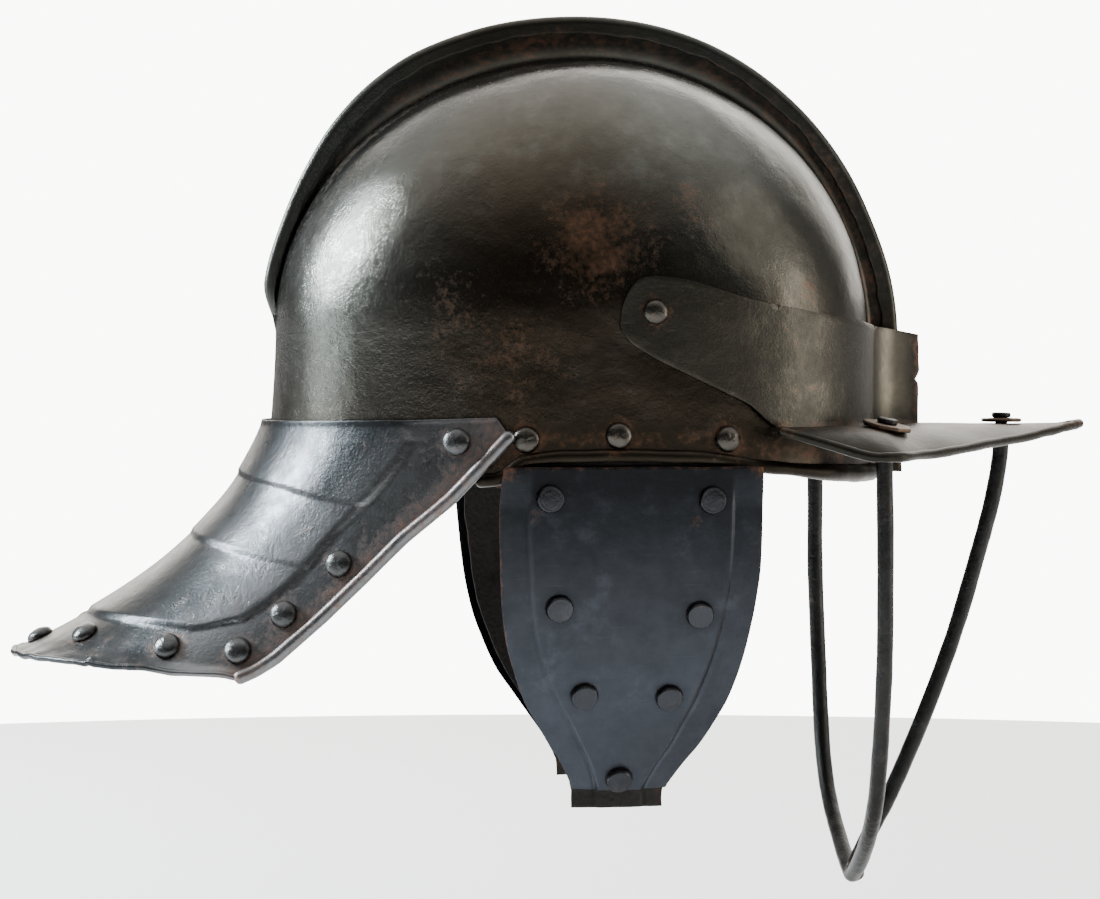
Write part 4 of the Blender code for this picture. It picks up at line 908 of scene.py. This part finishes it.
def peak():
    def arm(u, v):
        high, low = smooth(ARM_LINE, u, 1), smooth(ARM_LINE, u, 2)
        share = u * u
        x = POLE_X + ARM_START + ARM_REACH * share
        line = -SKULL_HEIGHT + BAND_TOP_RISE + (1 - share) * ARM_RISE
        z = blend(line - BAND_HEIGHT * high, line - BAND_HEIGHT * low, v)
        return Vector((x, round_width(x - POLE_X, BAND_RADIUS, BAND_WIDTH), z))

    def front(u, v):
        x, y = band_plan(smooth(BRIM_STEPS, u * LAST_STEP, 1))
        top, bottom = band_heights(x)
        ragged = (1 - v) ** 3
        nick = 0.0016 * ease(1 - abs(u * LAST_STEP - 6.2) / 0.25) * ragged
        top += 0.0004 * ripple(Vector((x, y, 0)), 0.012, 8.0) * ragged - nick
        return Vector((x, y, blend(top, bottom, v)))

    grids = [shaped_grid("arm", 44, 20, arm), shaped_grid("front", 60, 20, front),
             shaped_grid("brim", 60, 22, lambda u, v: brim_point(u * LAST_STEP, v))]
    plate = join("peak_dressed", grids, 0.00003)
    turn_outward(plate, lambda p: Vector((p.x, p.y, 0.15)))
    apply(plate, "MIRROR", use_axis=(False, True, False), merge_threshold=0.00003)

    def uneven(point, normal):
        keel = ease(1 - abs(point.y) / 0.004)
        keel = keel * ease((point.z + 0.122) / 0.01) * ease((point.x - 0.112) / 0.003)
        split = 0.0012 * ease(1 - abs(point.z + 0.1125) / 0.0022) * keel
        return (0.00035 * ripple(point, 0.03, 5.0) + 0.00014 * ripple(point, 0.011, 3.0)
                + keel * 0.0005 * ripple(point, 0.005, 1.0) - split)

    dent(plate, uneven)
    make_sheet(plate, SHEET, 0.00045, 45)
    edge = [brim_point(LAST_STEP * k / 70, 1.0) for k in range(71)]
    low = Vector((0, 0, SHEET / 2))
    path = [p - low for p in edge] + [Vector((p.x, -p.y, p.z)) - low for p in reversed(edge[:-1])]
    for p in path:
        p.z += 0.0005 * ripple(p, 0.03, 4.0) + 0.0003 * ripple(p, 0.011, 6.0)
    roll = tube("brim_roll", path, lambda share, turn: BRIM_ROLL * (
        1.05 + 0.14 * ripple(skin(share, turn, 0.45), 0.011)))
    plate = join("peak_dressed", [plate, roll])
    spots = [(pivot_point(side)[0], 0.009, 0.5) for side in SIDES.values()]
    spots += [(place, 0.013, 0.4) for place, _ in washer_places().values()]
    near = near_spots(spots)

    def rusting(point):
        fold = ease(1 - abs(point.z + SKULL_HEIGHT - BAND_TOP_RISE + BAND_HEIGHT) / 0.004) * 0.25
        keel = ease(1 - abs(point.y) / 0.006) * (0.42 if point.z > -0.126 else 0.1)
        return max(near(point), fold, keel)

    # Painted shade in rings round the pivots and washers, over the brim and what lies below it, and on the
    # keel's front edge
    near_dark = near_spots([(spot, radius * 0.85, 0.7) for spot, radius, _ in spots])

    def shade_and_grease_at(point):
        brim = 0.6 * ease((-point.z - 0.1285) / 0.002)
        keel = 0.8 * ease((point.x - 0.108) / 0.006) * ease((point.z + 0.131) / 0.004)
        return max(near_dark(point), brim, keel)

    paint(plate, "rust", rusting)
    paint(plate, "shade_and_grease", shade_and_grease_at)
    # Painted highlight: the band's front beside the keel is lighter, where the front lamp's reflection falls;
    # the brim and what lies below it get less
    paint(plate, "wear_and_sheen", lambda p: 0.9 * ease((p.x - 0.085) / 0.02) * ease(1 - abs(p.x - 0.105) / 0.02)
          * ease((p.z + 0.13) / 0.01) - 0.10 * ease((-p.z - 0.1285) / 0.002))
    return plate


# Face bars

def bar_top(point, normal):
    return point - normal * (SHEET + GAP + BAR_SHOULDER)


def face_bars():
    places = washer_places()
    left, centre = bar_top(*places["left"]), bar_top(*places["centre"])
    foot_x = left.x + FOOT_FORWARD
    down = [Vector((left.x + FOOT_FORWARD * drop, left.y * spread, left.z - BARS_DROP * drop))
            for drop, spread in SIDE_BAR]
    points = [left, *down, *[Vector((p.x, -p.y, p.z)) for p in reversed([left] + down[:-1])]]
    middle = [centre] + [Vector((blend(foot_x, centre.x, share), 0, centre.z - BARS_DROP * drop))
                         for drop, share in CENTRE_BAR]

    def forged(share, turn):
        lump = skin(share, turn, 0.5, 0.003)
        return BAR_RADIUS * (1 + 0.045 * ripple(lump, 0.014, 2.0) + 0.03 * ripple(lump, 0.005, 7.0))

    shells = []
    for name, line in (("side_bars", points), ("centre_bar", middle)):
        path = through(line, 9)
        for p in path:
            sway = Vector((ripple(p, 0.05, 1.0), ripple(p, 0.05, 5.0), 0)) * 0.0006
            p += sway * ease((left.z - p.z) / 0.03)
        shells.append(tube(name, path, forged, 18))
    foot = down[-1]
    deselect()
    bpy.ops.mesh.primitive_ico_sphere_add(subdivisions=4, radius=BAR_RADIUS * 1.2,
                                          location=foot + Vector((0.0012, 0, 0.0006)))
    bpy.ops.object.transform_apply()
    weld = bpy.context.object
    dent(weld, lambda p, n: 0.0004 * ripple(p, 0.004))
    shells.append(weld)
    for name, (point, normal) in places.items():
        seat = point + normal * (WASHER_THICKNESS + GAP)
        low = bar_top(point, normal) - normal * BAR_RADIUS / 2
        shells.append(tube("tenon_" + name, [blend(low, seat, k / 6) for k in range(7)],
                           lambda share, turn: TENON_RADIUS))
        shells.append(peened_end(seat, normal))
    guard = join("face_bars_dressed", shells)
    paint(guard, "rust", near_spots([(bar_top(*place), 0.010, 0.35) for place in places.values()]
                                    + [(foot, 0.012, 0.3)]))
    paint(guard, "wear_and_sheen", lambda p: 0.12 * (1 + ripple(p, 0.02)))
    return guard


def stand_up(piece, point, normal, turn):
    """A piece made at the origin is stood at a point for good, with its Z along the normal."""
    lean = Vector((0, 0, 1)).rotation_difference(normal).to_matrix().to_4x4()
    piece.data.transform(Matrix.Translation(point) @ lean @ Matrix.Rotation(turn, 4, "Z"))


def disc(sides, radius, thickness, foot, edge):
    """Plate lying over the origin with its edges broken, its underside foot above it."""
    deselect()
    bpy.ops.mesh.primitive_cylinder_add(vertices=sides, radius=radius, depth=thickness,
                                        location=(0, 0, thickness / 2 + foot))
    bpy.ops.object.transform_apply()
    made = bpy.context.object
    apply(made, "BEVEL", width=edge, segments=2, limit_method="ANGLE", angle_limit=math.radians(30))
    return made


def peened_end(point, normal):
    """Bar end hammered flat over its washer."""
    end = disc(8, BAR_HEAD_RADIUS, BAR_HEAD_HEIGHT, 0.0, 0.0006)
    apply(end, "SUBSURF", levels=2, render_levels=2, subdivision_type="SIMPLE")
    dent(end, lambda p, n: 0.00018 * ripple(p, 0.0022, point.y * 40))
    stand_up(end, point, normal, 0.4)
    return end


def washer(name, point, normal):
    """Square-cut plate with its corners taken off, or the dished round one of the middle bar."""
    centre = name == "centre"
    radius = CENTRE_WASHER_RADIUS if centre else SIDE_WASHER_RADIUS
    ring = disc(32 if centre else 8, radius, WASHER_THICKNESS, GAP, 0.0005)
    ring.name = ring.data.name = "washer_" + name + "_dressed"
    bpy.ops.object.mode_set(mode="EDIT")
    bpy.ops.mesh.select_all(action="SELECT")
    bpy.ops.mesh.quads_convert_to_tris()
    bpy.ops.mesh.subdivide(number_cuts=3)
    bpy.ops.object.mode_set(mode="OBJECT")

    def worn(p, n):
        out = math.hypot(p.x, p.y) / radius
        dish = -0.0005 * out * out if centre and p.z > WASHER_THICKNESS * 0.6 else 0.0
        return dish * n.z + 0.00016 * ripple(p, 0.004, radius * 900 + point.y * 30)

    dent(ring, worn)
    stand_up(ring, point, normal, {"right": 0.3, "left": 0.1, "centre": 0.0}[name])
    paint(ring, "rust", lambda p: 0.18)
    paint(ring, "wear_and_sheen", lambda p: 0.0)
    return ring


# Cheek pieces

def cheek_top():
    reach = (CHEEK_X + CHEEK_HALF_WIDTH / 2 - POLE_X) / SKULL_FRONT
    return -SKULL_HEIGHT - look_up(RIM_LINE, reach) * RIM_DROP - RIM_ROLL - CHEEK_TOP_GAP


def cheek_width(x, z):
    down = (cheek_top() - z) / CHEEK_LENGTH
    tuck = smooth(CHEEK_LINE, down, 3) * CHEEK_TUCK
    return SKULL_HALF_WIDTH + CHEEK_STAND_OFF - tuck - CHEEK_TURN * (x - CHEEK_X)


def cheek_lean(z, side):
    return math.tan(LEFT_CHEEK_SWING) * max(cheek_top() - z, 0.0) if side > 0 else 0.0


def cheek_place(across, down, side):
    z = cheek_top() - down * CHEEK_LENGTH
    x = CHEEK_X + across * CHEEK_HALF_WIDTH
    point = Vector((x + cheek_lean(z, side), side * cheek_width(x, z), z))
    return point, side_normal(cheek_width, x, z, side)


# Crease of the cheek plate by share down: distance inside the edge
CREASE = ((0.0, 0.0100), (0.5, 0.0108), (0.75, 0.0120), (0.9, 0.0105), (1.0, 0.0085))


def edge_gap(x, down, lean=0.0):
    """Distance of x inside the nearer edge of the cheek plate."""
    low, high = (CHEEK_X + smooth(CHEEK_LINE, down, column) * CHEEK_HALF_WIDTH + lean for column in (1, 2))
    return min(x - low, high - x)


def cheek_bend(x, down):
    """How far the plate falls back outside its crease: a small step, then the bent border."""
    inside = edge_gap(x, down)
    crease = smooth(CREASE, down)
    fade = ease((down - 0.01) / 0.12)
    bend = 0.4 * ease((crease - inside) / 0.0016 + 0.5) + 0.6 * max(crease - inside, 0.0) / crease
    groove = 0.25 * math.exp(-((crease - inside - 0.0006) / 0.0008) ** 2)
    return fade * settings().cheek_bend * (bend + groove)


def cheek_plate(name, side):
    def place(u, v):
        z = cheek_top() - v * CHEEK_LENGTH
        x = CHEEK_X + blend(smooth(CHEEK_LINE, v, 1), smooth(CHEEK_LINE, v, 2), u) * CHEEK_HALF_WIDTH
        ends = max(1 - v / 0.012, 0.0)
        z += 0.0004 * ripple(Vector((x, side, 0)), 0.012, 3.0) * ends
        normal = side_normal(cheek_width, x, z, side)
        return Vector((x + cheek_lean(z, side), side * cheek_width(x, z), z)) - normal * cheek_bend(x, v)

    plate = shaped_grid("cheek_plate_" + name + "_dressed", 150, 120, place)
    turn_outward(plate, lambda p: Vector((0, side, 0)))
    dent(plate, lambda p, n: 0.00014 * ripple(p, 0.035, 2.0) + 0.00002 * ripple(p, 0.012, 6.0))
    make_sheet(plate, SHEET, 0.0003, 50)
    rivets = [cheek_place(across, down, side)[0] for across, down in CHEEK_RIVETS]
    spots = [(p, 0.0085, 0.42) for p in rivets]
    spots += [(p - Vector((0.006, 0, 0.006)), 0.006, 0.42) for p in rivets[:2]]
    spots += [(cheek_place(across, 0.0, side)[0], 0.011, 0.62) for across in (-0.97, 0.97)]
    top = cheek_top()
    near = near_spots(spots)

    def rusting(point):
        inside = edge_gap(point.x, (top - point.z) / CHEEK_LENGTH, cheek_lean(point.z, side))
        edges = 0.50 * ease(1 - inside / 0.0014) + 0.50 * ease(1 - (top - point.z) / 0.002)
        return max(near(point), edges)

    paint(plate, "rust", rusting)
    # Painted reflection: the plate grows lighter towards its lower part, which turns down towards the pale
    # floor
    paint(plate, "wear_and_sheen", lambda p: 0.75 * ease((top - p.z) / CHEEK_LENGTH - 0.15))
    # Painted shade in rings round the rivet heads
    paint(plate, "shade_and_grease", near_spots([(p, 0.0085, 0.6) for p in rivets]))
    return plate


def lining_width(x, z):
    down = (cheek_top() - z) / CHEEK_LENGTH
    behind = cheek_width(x, z) - SHEET - GAP - cheek_bend(x, min(max(down, 0.0), 1.0)) * 1.05
    inside = skull_width(x, max(z, -SKULL_HEIGHT - RIM_DROP)) - SHEET - 2 * GAP - 0.0003
    start, end = cheek_top() - CHEEK_LENGTH * TUCK_START, cheek_top() - CHEEK_LENGTH * TUCK_END
    return blend(behind, inside, ease((z - start) / (end - start)))


def cheek_leather(name, side):
    top = cheek_top()
    whole = CHEEK_HUNG + CHEEK_LENGTH + CHEEK_TAB

    def place(u, v):
        z = top + CHEEK_HUNG - v * whole
        down = (top - z) / CHEEK_LENGTH
        if down < 0:
            hung = -down * CHEEK_LENGTH / CHEEK_HUNG
            low, high = (smooth(TONGUE_LINE, hung, column) * CHEEK_HALF_WIDTH for column in (1, 2))
        else:
            at = min(down, 1.0)
            inset = LINING_INSET * (1 - ease((down - 0.88) / 0.12))
            low = smooth(CHEEK_LINE, at, 1) * CHEEK_HALF_WIDTH + inset
            high = smooth(CHEEK_LINE, at, 2) * CHEEK_HALF_WIDTH - max(inset, LINING_INSET / 3)
            low = blend(-0.92 * CHEEK_HALF_WIDTH, low, ease(down / 0.12))
            high = blend(0.91 * CHEEK_HALF_WIDTH, high, ease(down / 0.12))
        x = CHEEK_X + blend(low, high, u)
        rough = max(abs(2 * u - 1) - 0.9, 0.0) * 10
        spot = Vector((x, side, z))
        x += rough * 0.0005 * ripple(spot, 0.006, 4.0)
        return Vector((x + cheek_lean(z, side), side * lining_width(x, z), z))

    leather = shaped_grid("cheek_leather_" + name + "_dressed", 60, 110, place)
    turn_outward(leather, lambda p: Vector((0, side, 0)))
    make_sheet(leather, LEATHER, 0.0005, 50)
    dent(leather, lambda p, n: 0.00010 * ripple(p, 0.006, 2.0))

    def staining(point):
        down = (top - point.z) / CHEEK_LENGTH
        inside = edge_gap(point.x, min(max(down, 0.0), 1.0), cheek_lean(point.z, side))
        return 0.34 * ease(1 - (inside - LINING_INSET) / 0.0025) if down > 0 else 0.0

    paint(leather, "rust", staining)
    return leather


# Rivets

def rivet(name, radius, height, grip, place, flat, seed):
    """Head hammered from a ball cut in half, and the clenched end inside."""
    deselect()
    bpy.ops.mesh.primitive_uv_sphere_add(segments=28, ring_count=18, radius=1.0)
    head = bpy.context.object
    bpy.ops.object.mode_set(mode="EDIT")
    bpy.ops.mesh.select_all(action="SELECT")
    bpy.ops.mesh.bisect(plane_co=(0, 0, 0), plane_no=(0, 0, 1), clear_inner=True, use_fill=True)
    bpy.ops.object.mode_set(mode="OBJECT")
    spin = Vector((seed * 3.1, seed * 1.7, seed))
    for point in head.data.vertices:
        p = point.co.copy()
        out = math.hypot(p.x, p.y)
        up = max(p.z, 0.0)
        uneven, lump = noise.noise(p * 2 + spin), noise.noise(p * 2.2 + spin)
        if flat:
            up = min(up * 2.0, 1.0) - 0.04 * out - 0.10 * math.exp(-((out - 0.72) / 0.05) ** 2)
            rim, lump = 1.0 + 0.03 * uneven, 0.02 * lump
        else:
            facet = noise.cell(Vector((math.atan2(p.y, p.x) * 1.2, up * 1.7, seed)))
            up = up ** 0.85
            rim, lump = 1.0 + 0.02 * uneven, 0.05 * lump + 0.025 * (facet - 0.5)
        point.co = Vector((p.x * radius * rim, p.y * radius * rim, max(up, 0.0) * height * (1 + lump)))
    deselect()
    foot = -grip - GAP
    bpy.ops.mesh.primitive_uv_sphere_add(segments=16, ring_count=10, radius=CLENCH_RADIUS,
                                         location=(0, 0, foot))
    bpy.ops.object.transform_apply()
    clench = bpy.context.object
    for point in clench.data.vertices:
        point.co.z = foot + (point.co.z - foot) * 0.34
    made = join(name, [head, clench])
    apply(made, "BEVEL", width=radius * 0.05, segments=2, limit_method="ANGLE", angle_limit=math.radians(55))
    stand_up(made, *place, seed)
    point, normal = place
    paint(made, "rust", lambda p: 0.45 * ease(1 - (p - point).dot(normal) / (height * 0.45)))
    paint(made, "wear_and_sheen", lambda p: 0.40 * ease((p - point).dot(normal) / height - 0.25))
    return made


def neck_joint_grip():
    point, normal = tail_place(*TAIL_RIVETS[0], 1.0)
    return (point.y - skull_width(point.x, point.z)) * normal.y + SHEET + 3 * GAP


def rivet_list():
    """Every rivet: node, head, grip, place, whether it is flat, and which finish it has."""
    rows = []
    for name, side in SIDES.items():
        for number, (along, down) in enumerate(SKULL_RIVETS, 1):
            rows.append((f"skull_rivet_{name}_{number}", SKULL_HEAD, SHEET + 2 * GAP + LEATHER,
                         skull_place(along, down, side), False, "rivet"))
        for number, (row, share) in enumerate(TAIL_RIVETS, 1):
            grip = neck_joint_grip() if number == 1 else SHEET
            rows.append((f"neck_rivet_{name}_{number}", TAIL_HEAD, grip, tail_place(row, share, side),
                         False, "bright"))
        for number, (across, down) in enumerate(CHEEK_RIVETS, 1):
            grip = SHEET + 3 * GAP + LEATHER + (4 * GAP if number <= 2 else 0)
            rows.append((f"cheek_rivet_{name}_{number}", CHEEK_HEAD, grip, cheek_place(across, down, side),
                         True, "cheek"))
        grip = BAND_WIDTH - skull_width(PIVOT_X, -SKULL_HEIGHT + PIVOT_RISE) + SHEET + 2 * GAP
        rows.append(("pivot_rivet_" + name, PIVOT_HEAD, grip, pivot_point(side), False, "rivet"))
    rows.append(("neck_rivet_centre", TAIL_HEAD, SHEET, tail_place(*TAIL_CENTRE_RIVET, 1.0), False, "bright"))
    return rows


# Operators

FLOOR_RADIUS, FLOOR_HEIGHT = 1.1, -0.34
# Lights: turned, raised and away from their aim; width and height; watts; tint
AIM = Vector((-0.02, 0, -0.12))
COOL, WARM = (0.88, 0.95, 1.0), (1.0, 0.95, 0.87)
LIGHTS = (
    ("tail_light", 165, 26, 1.7, (0.13, 0.56), 96.0, COOL),
    ("low_light", 168, -2, 1.7, (0.16, 0.8), 10.0, COOL),
    ("brow_light", -22, 30, 2.2, (1.5, 1.1), 9.0, WARM),
    ("front_light", -12, 4, 1.6, (0.26, 0.9), 13.0, WARM),
    ("far_light", 76, 24, 2.2, (3.0, 1.5), 62.0, WARM),
)
# Camera of the picture: what it looks at, turned off the near side, raised and away; its lens in millimetres
LOOK = Vector((-0.0108, 0, -0.138))
VIEW_TURN, VIEW_RISE, VIEW_AWAY, LENS = math.radians(-6.5), math.radians(1.4), 1.3, 119.13


class HELMET_OT_stage(bpy.types.Operator):
    """Pale floor, soft lights and the camera of the picture"""
    bl_idname = "helmet.stage"
    bl_label = "Stage"

    def execute(self, context):
        deselect()
        bpy.ops.mesh.primitive_circle_add(vertices=128, radius=FLOOR_RADIUS, fill_type="NGON",
                                          location=(0, 0, FLOOR_HEIGHT))
        floor = context.object
        floor.name = "floor"
        made, tree, shader = new_finish("pale matt floor")
        shader.inputs["Base Color"].default_value = rgba(linear("#f8f8f8"))
        shader.inputs["Roughness"].default_value = 0.9
        floor.data.materials.append(made)
        # Bright ceiling over a dim room, so that the steel mirrors soft lights against the dark
        world = bpy.data.worlds.new("studio")
        world.use_nodes = True
        tree = world.node_tree
        way = add(tree, "ShaderNodeTexCoord").outputs["Generated"]
        sides = add(tree, "ShaderNodeSeparateXYZ", {"Vector": way}).outputs
        ceiling = mapped(tree, sides["Z"], 0.42, 0.96, 0.15, 2.7, "SMOOTHSTEP")
        near = mapped(tree, sides["Y"], -0.55, 0.10, 0.5, 1.0, "SMOOTHSTEP")
        ground = mapped(tree, sides["Z"], -0.04, 0.02, 1.0, 0.0, "SMOOTHSTEP")
        dimmed = worked_out(tree, "MAXIMUM", worked_out(tree, "MULTIPLY", ceiling, near), ground)
        seen = add(tree, "ShaderNodeLightPath").outputs["Is Camera Ray"]
        background = tree.nodes["Background"]
        tree.links.new(mixed(tree, seen, dimmed, 10.0, "FLOAT"), background.inputs["Strength"])
        background.inputs["Color"].default_value = (1.0, 0.98, 0.95, 1.0)
        context.scene.world = world
        for name, turned, raised, far, size, power, tint in LIGHTS:
            turned, raised = math.radians(turned), math.radians(raised)
            place = AIM + far * Vector((math.cos(turned) * math.cos(raised),
                                        math.sin(turned) * math.cos(raised), math.sin(raised)))
            deselect()
            bpy.ops.object.light_add(type="AREA", location=place)
            light = context.object
            light.name = name
            light.data.shape = "RECTANGLE"
            light.data.size, light.data.size_y = size
            light.data.energy = power
            light.data.color = tint
            light.rotation_euler = (AIM - place).to_track_quat("-Z", "Y").to_euler()
        place = LOOK + VIEW_AWAY * Vector((math.sin(VIEW_TURN) * math.cos(VIEW_RISE),
                                           -math.cos(VIEW_TURN) * math.cos(VIEW_RISE), math.sin(VIEW_RISE)))
        deselect()
        bpy.ops.object.camera_add(location=place, rotation=(LOOK - place).to_track_quat("-Z", "Y").to_euler())
        camera = context.object
        camera.data.lens = LENS
        camera.data.sensor_width = 36.0
        context.scene.camera = camera
        return {"FINISHED"}


class HELMET_OT_skull(bpy.types.Operator):
    """Both halves of the skull, with comb, rolled rim and hammer marks"""
    bl_idname = "helmet.skull"
    bl_label = "Skull"

    def execute(self, context):
        finish = old_steel("hammered steel, brown-black patina", settings().patina, linear("#4f524f"),
                           rough=0.24, pits=0.16, hammer=0.16, rust_share=-0.10, streaks=0.12)
        for name, side in SIDES.items():
            half = skull_half(side)
            half.name = half.data.name = f"skull_{name}_dressed"
            finish_piece(half, "skull", finish, ["skull_" + name], 60)
        return {"FINISHED"}


class HELMET_OT_neck_guard(bpy.types.Operator):
    """Neck guard with embossed lames, border line and rolled edges"""
    bl_idname = "helmet.neck_guard"
    bl_label = "Neck guard"

    def execute(self, context):
        finish = old_steel("scoured steel, grey with residue", linear("#292c2e"), linear("#66686a"),
                           rough=0.30, pits=0.25, hammer=0.09, rubbed_share=0.16, rust_share=0.0, streaks=0.5)
        finish_piece(neck_guard(), "skull", finish, ["neck_guard"], 60)
        return {"FINISHED"}


class HELMET_OT_peak(bpy.types.Operator):
    """Peak with its arms, keel and flanged brim"""
    bl_idname = "helmet.peak"
    bl_label = "Peak"

    def execute(self, context):
        finish = old_steel("dull steel, grey-brown", linear("#35332e"), linear("#5a564d"),
                           rough=0.38, pits=0.25, hammer=0.10)
        finish_piece(peak(), "peak", finish, ["peak"], 60)
        return {"FINISHED"}


class HELMET_OT_face_bars(bpy.types.Operator):
    """Face guard of three bars, and the washers under their peened ends"""
    bl_idname = "helmet.face_bars"
    bl_label = "Face bars"

    def execute(self, context):
        forged = old_steel("forged bar, fire-blackened", linear("#272727"), linear("#424241"),
                           rough=0.40, pits=0.5, hammer=0.3)
        finish_piece(face_bars(), "peak", forged, ["face_bars"], 60)
        plate = old_steel("cut washer plate, brown", linear("#564b40"), linear("#6e655b"),
                          rough=0.45, pits=0.4, hammer=0.3, rust_share=0.0)
        for name, (point, normal) in washer_places().items():
            finish_piece(washer(name, point, normal), "peak", plate, ["washer_" + name], 40)
        return {"FINISHED"}


class HELMET_OT_cheeks(bpy.types.Operator):
    """Cheek plates and the leathers that carry them"""
    bl_idname = "helmet.cheeks"
    bl_label = "Cheek pieces"

    def execute(self, context):
        black = old_steel("smooth sheet, blue-blackened", settings().blackening, linear("#42464e"),
                          rough=0.35, pits=0.10, hammer=0.04, rubbed_share=0.08, rust_share=-0.22,
                          streaks=0.15)
        hide = old_leather("old black leather")
        for name, side in SIDES.items():
            finish_piece(cheek_plate(name, side), "skull", black, ["cheek_plate_" + name], 60)
            finish_piece(cheek_leather(name, side), "skull", hide, ["cheek_leather_" + name], 60)
        return {"FINISHED"}


class HELMET_OT_rivets(bpy.types.Operator):
    """Hand-hammered rivets of skull, neck guard, cheek pieces and pivots"""
    bl_idname = "helmet.rivets"
    bl_label = "Rivets"

    def execute(self, context):
        finishes = {
            "rivet": old_steel("hammered iron, dark", linear("#393632"), linear("#575550"),
                               rough=0.30, pits=0.3, hammer=0.4),
            "bright": old_steel("hammered iron, grey", linear("#3c3d3d"), linear("#5e6062"),
                                rough=0.30, pits=0.3, hammer=0.4),
            "cheek": old_steel("hammered iron, blackened", linear("#2c2d30"), linear("#404246"),
                               rough=0.34, pits=0.25, hammer=0.3)}
        for seed, (node, head, grip, place, flat, finish) in enumerate(rivet_list(), 1):
            made = rivet(node + "_dressed", *head, grip, place, flat, seed)
            finish_piece(made, "skull", finishes[finish], [node], 50)
        return {"FINISHED"}


class HELMET_PT_pieces(bpy.types.Panel):
    """Lists the helmet's pieces and sizes"""
    bl_label = "Lobster-tailed pot"
    bl_space_type = "VIEW_3D"
    bl_region_type = "UI"
    bl_category = "Helmet"

    def draw(self, context):
        for name in HelmetSettings.__annotations__:
            self.layout.prop(context.scene.helmet, name)
        for kind in OPERATORS:
            self.layout.operator(kind.bl_idname)


OPERATORS = (HELMET_OT_stage, HELMET_OT_skull, HELMET_OT_neck_guard, HELMET_OT_peak, HELMET_OT_face_bars,
             HELMET_OT_cheeks, HELMET_OT_rivets)
CLASSES = (HelmetSettings, *OPERATORS, HELMET_PT_pieces)


def register():
    for kind in CLASSES:
        bpy.utils.register_class(kind)
    bpy.types.Scene.helmet = bpy.props.PointerProperty(type=HelmetSettings)


def unregister():
    del bpy.types.Scene.helmet
    for kind in reversed(CLASSES):
        bpy.utils.unregister_class(kind)


def main():
    register()
    bpy.ops.helmet.stage()
    bpy.ops.helmet.skull()
    bpy.ops.helmet.neck_guard()
    bpy.ops.helmet.peak()
    bpy.ops.helmet.face_bars()
    bpy.ops.helmet.cheeks()
    bpy.ops.helmet.rivets()


if __name__ == "__main__":
    main()
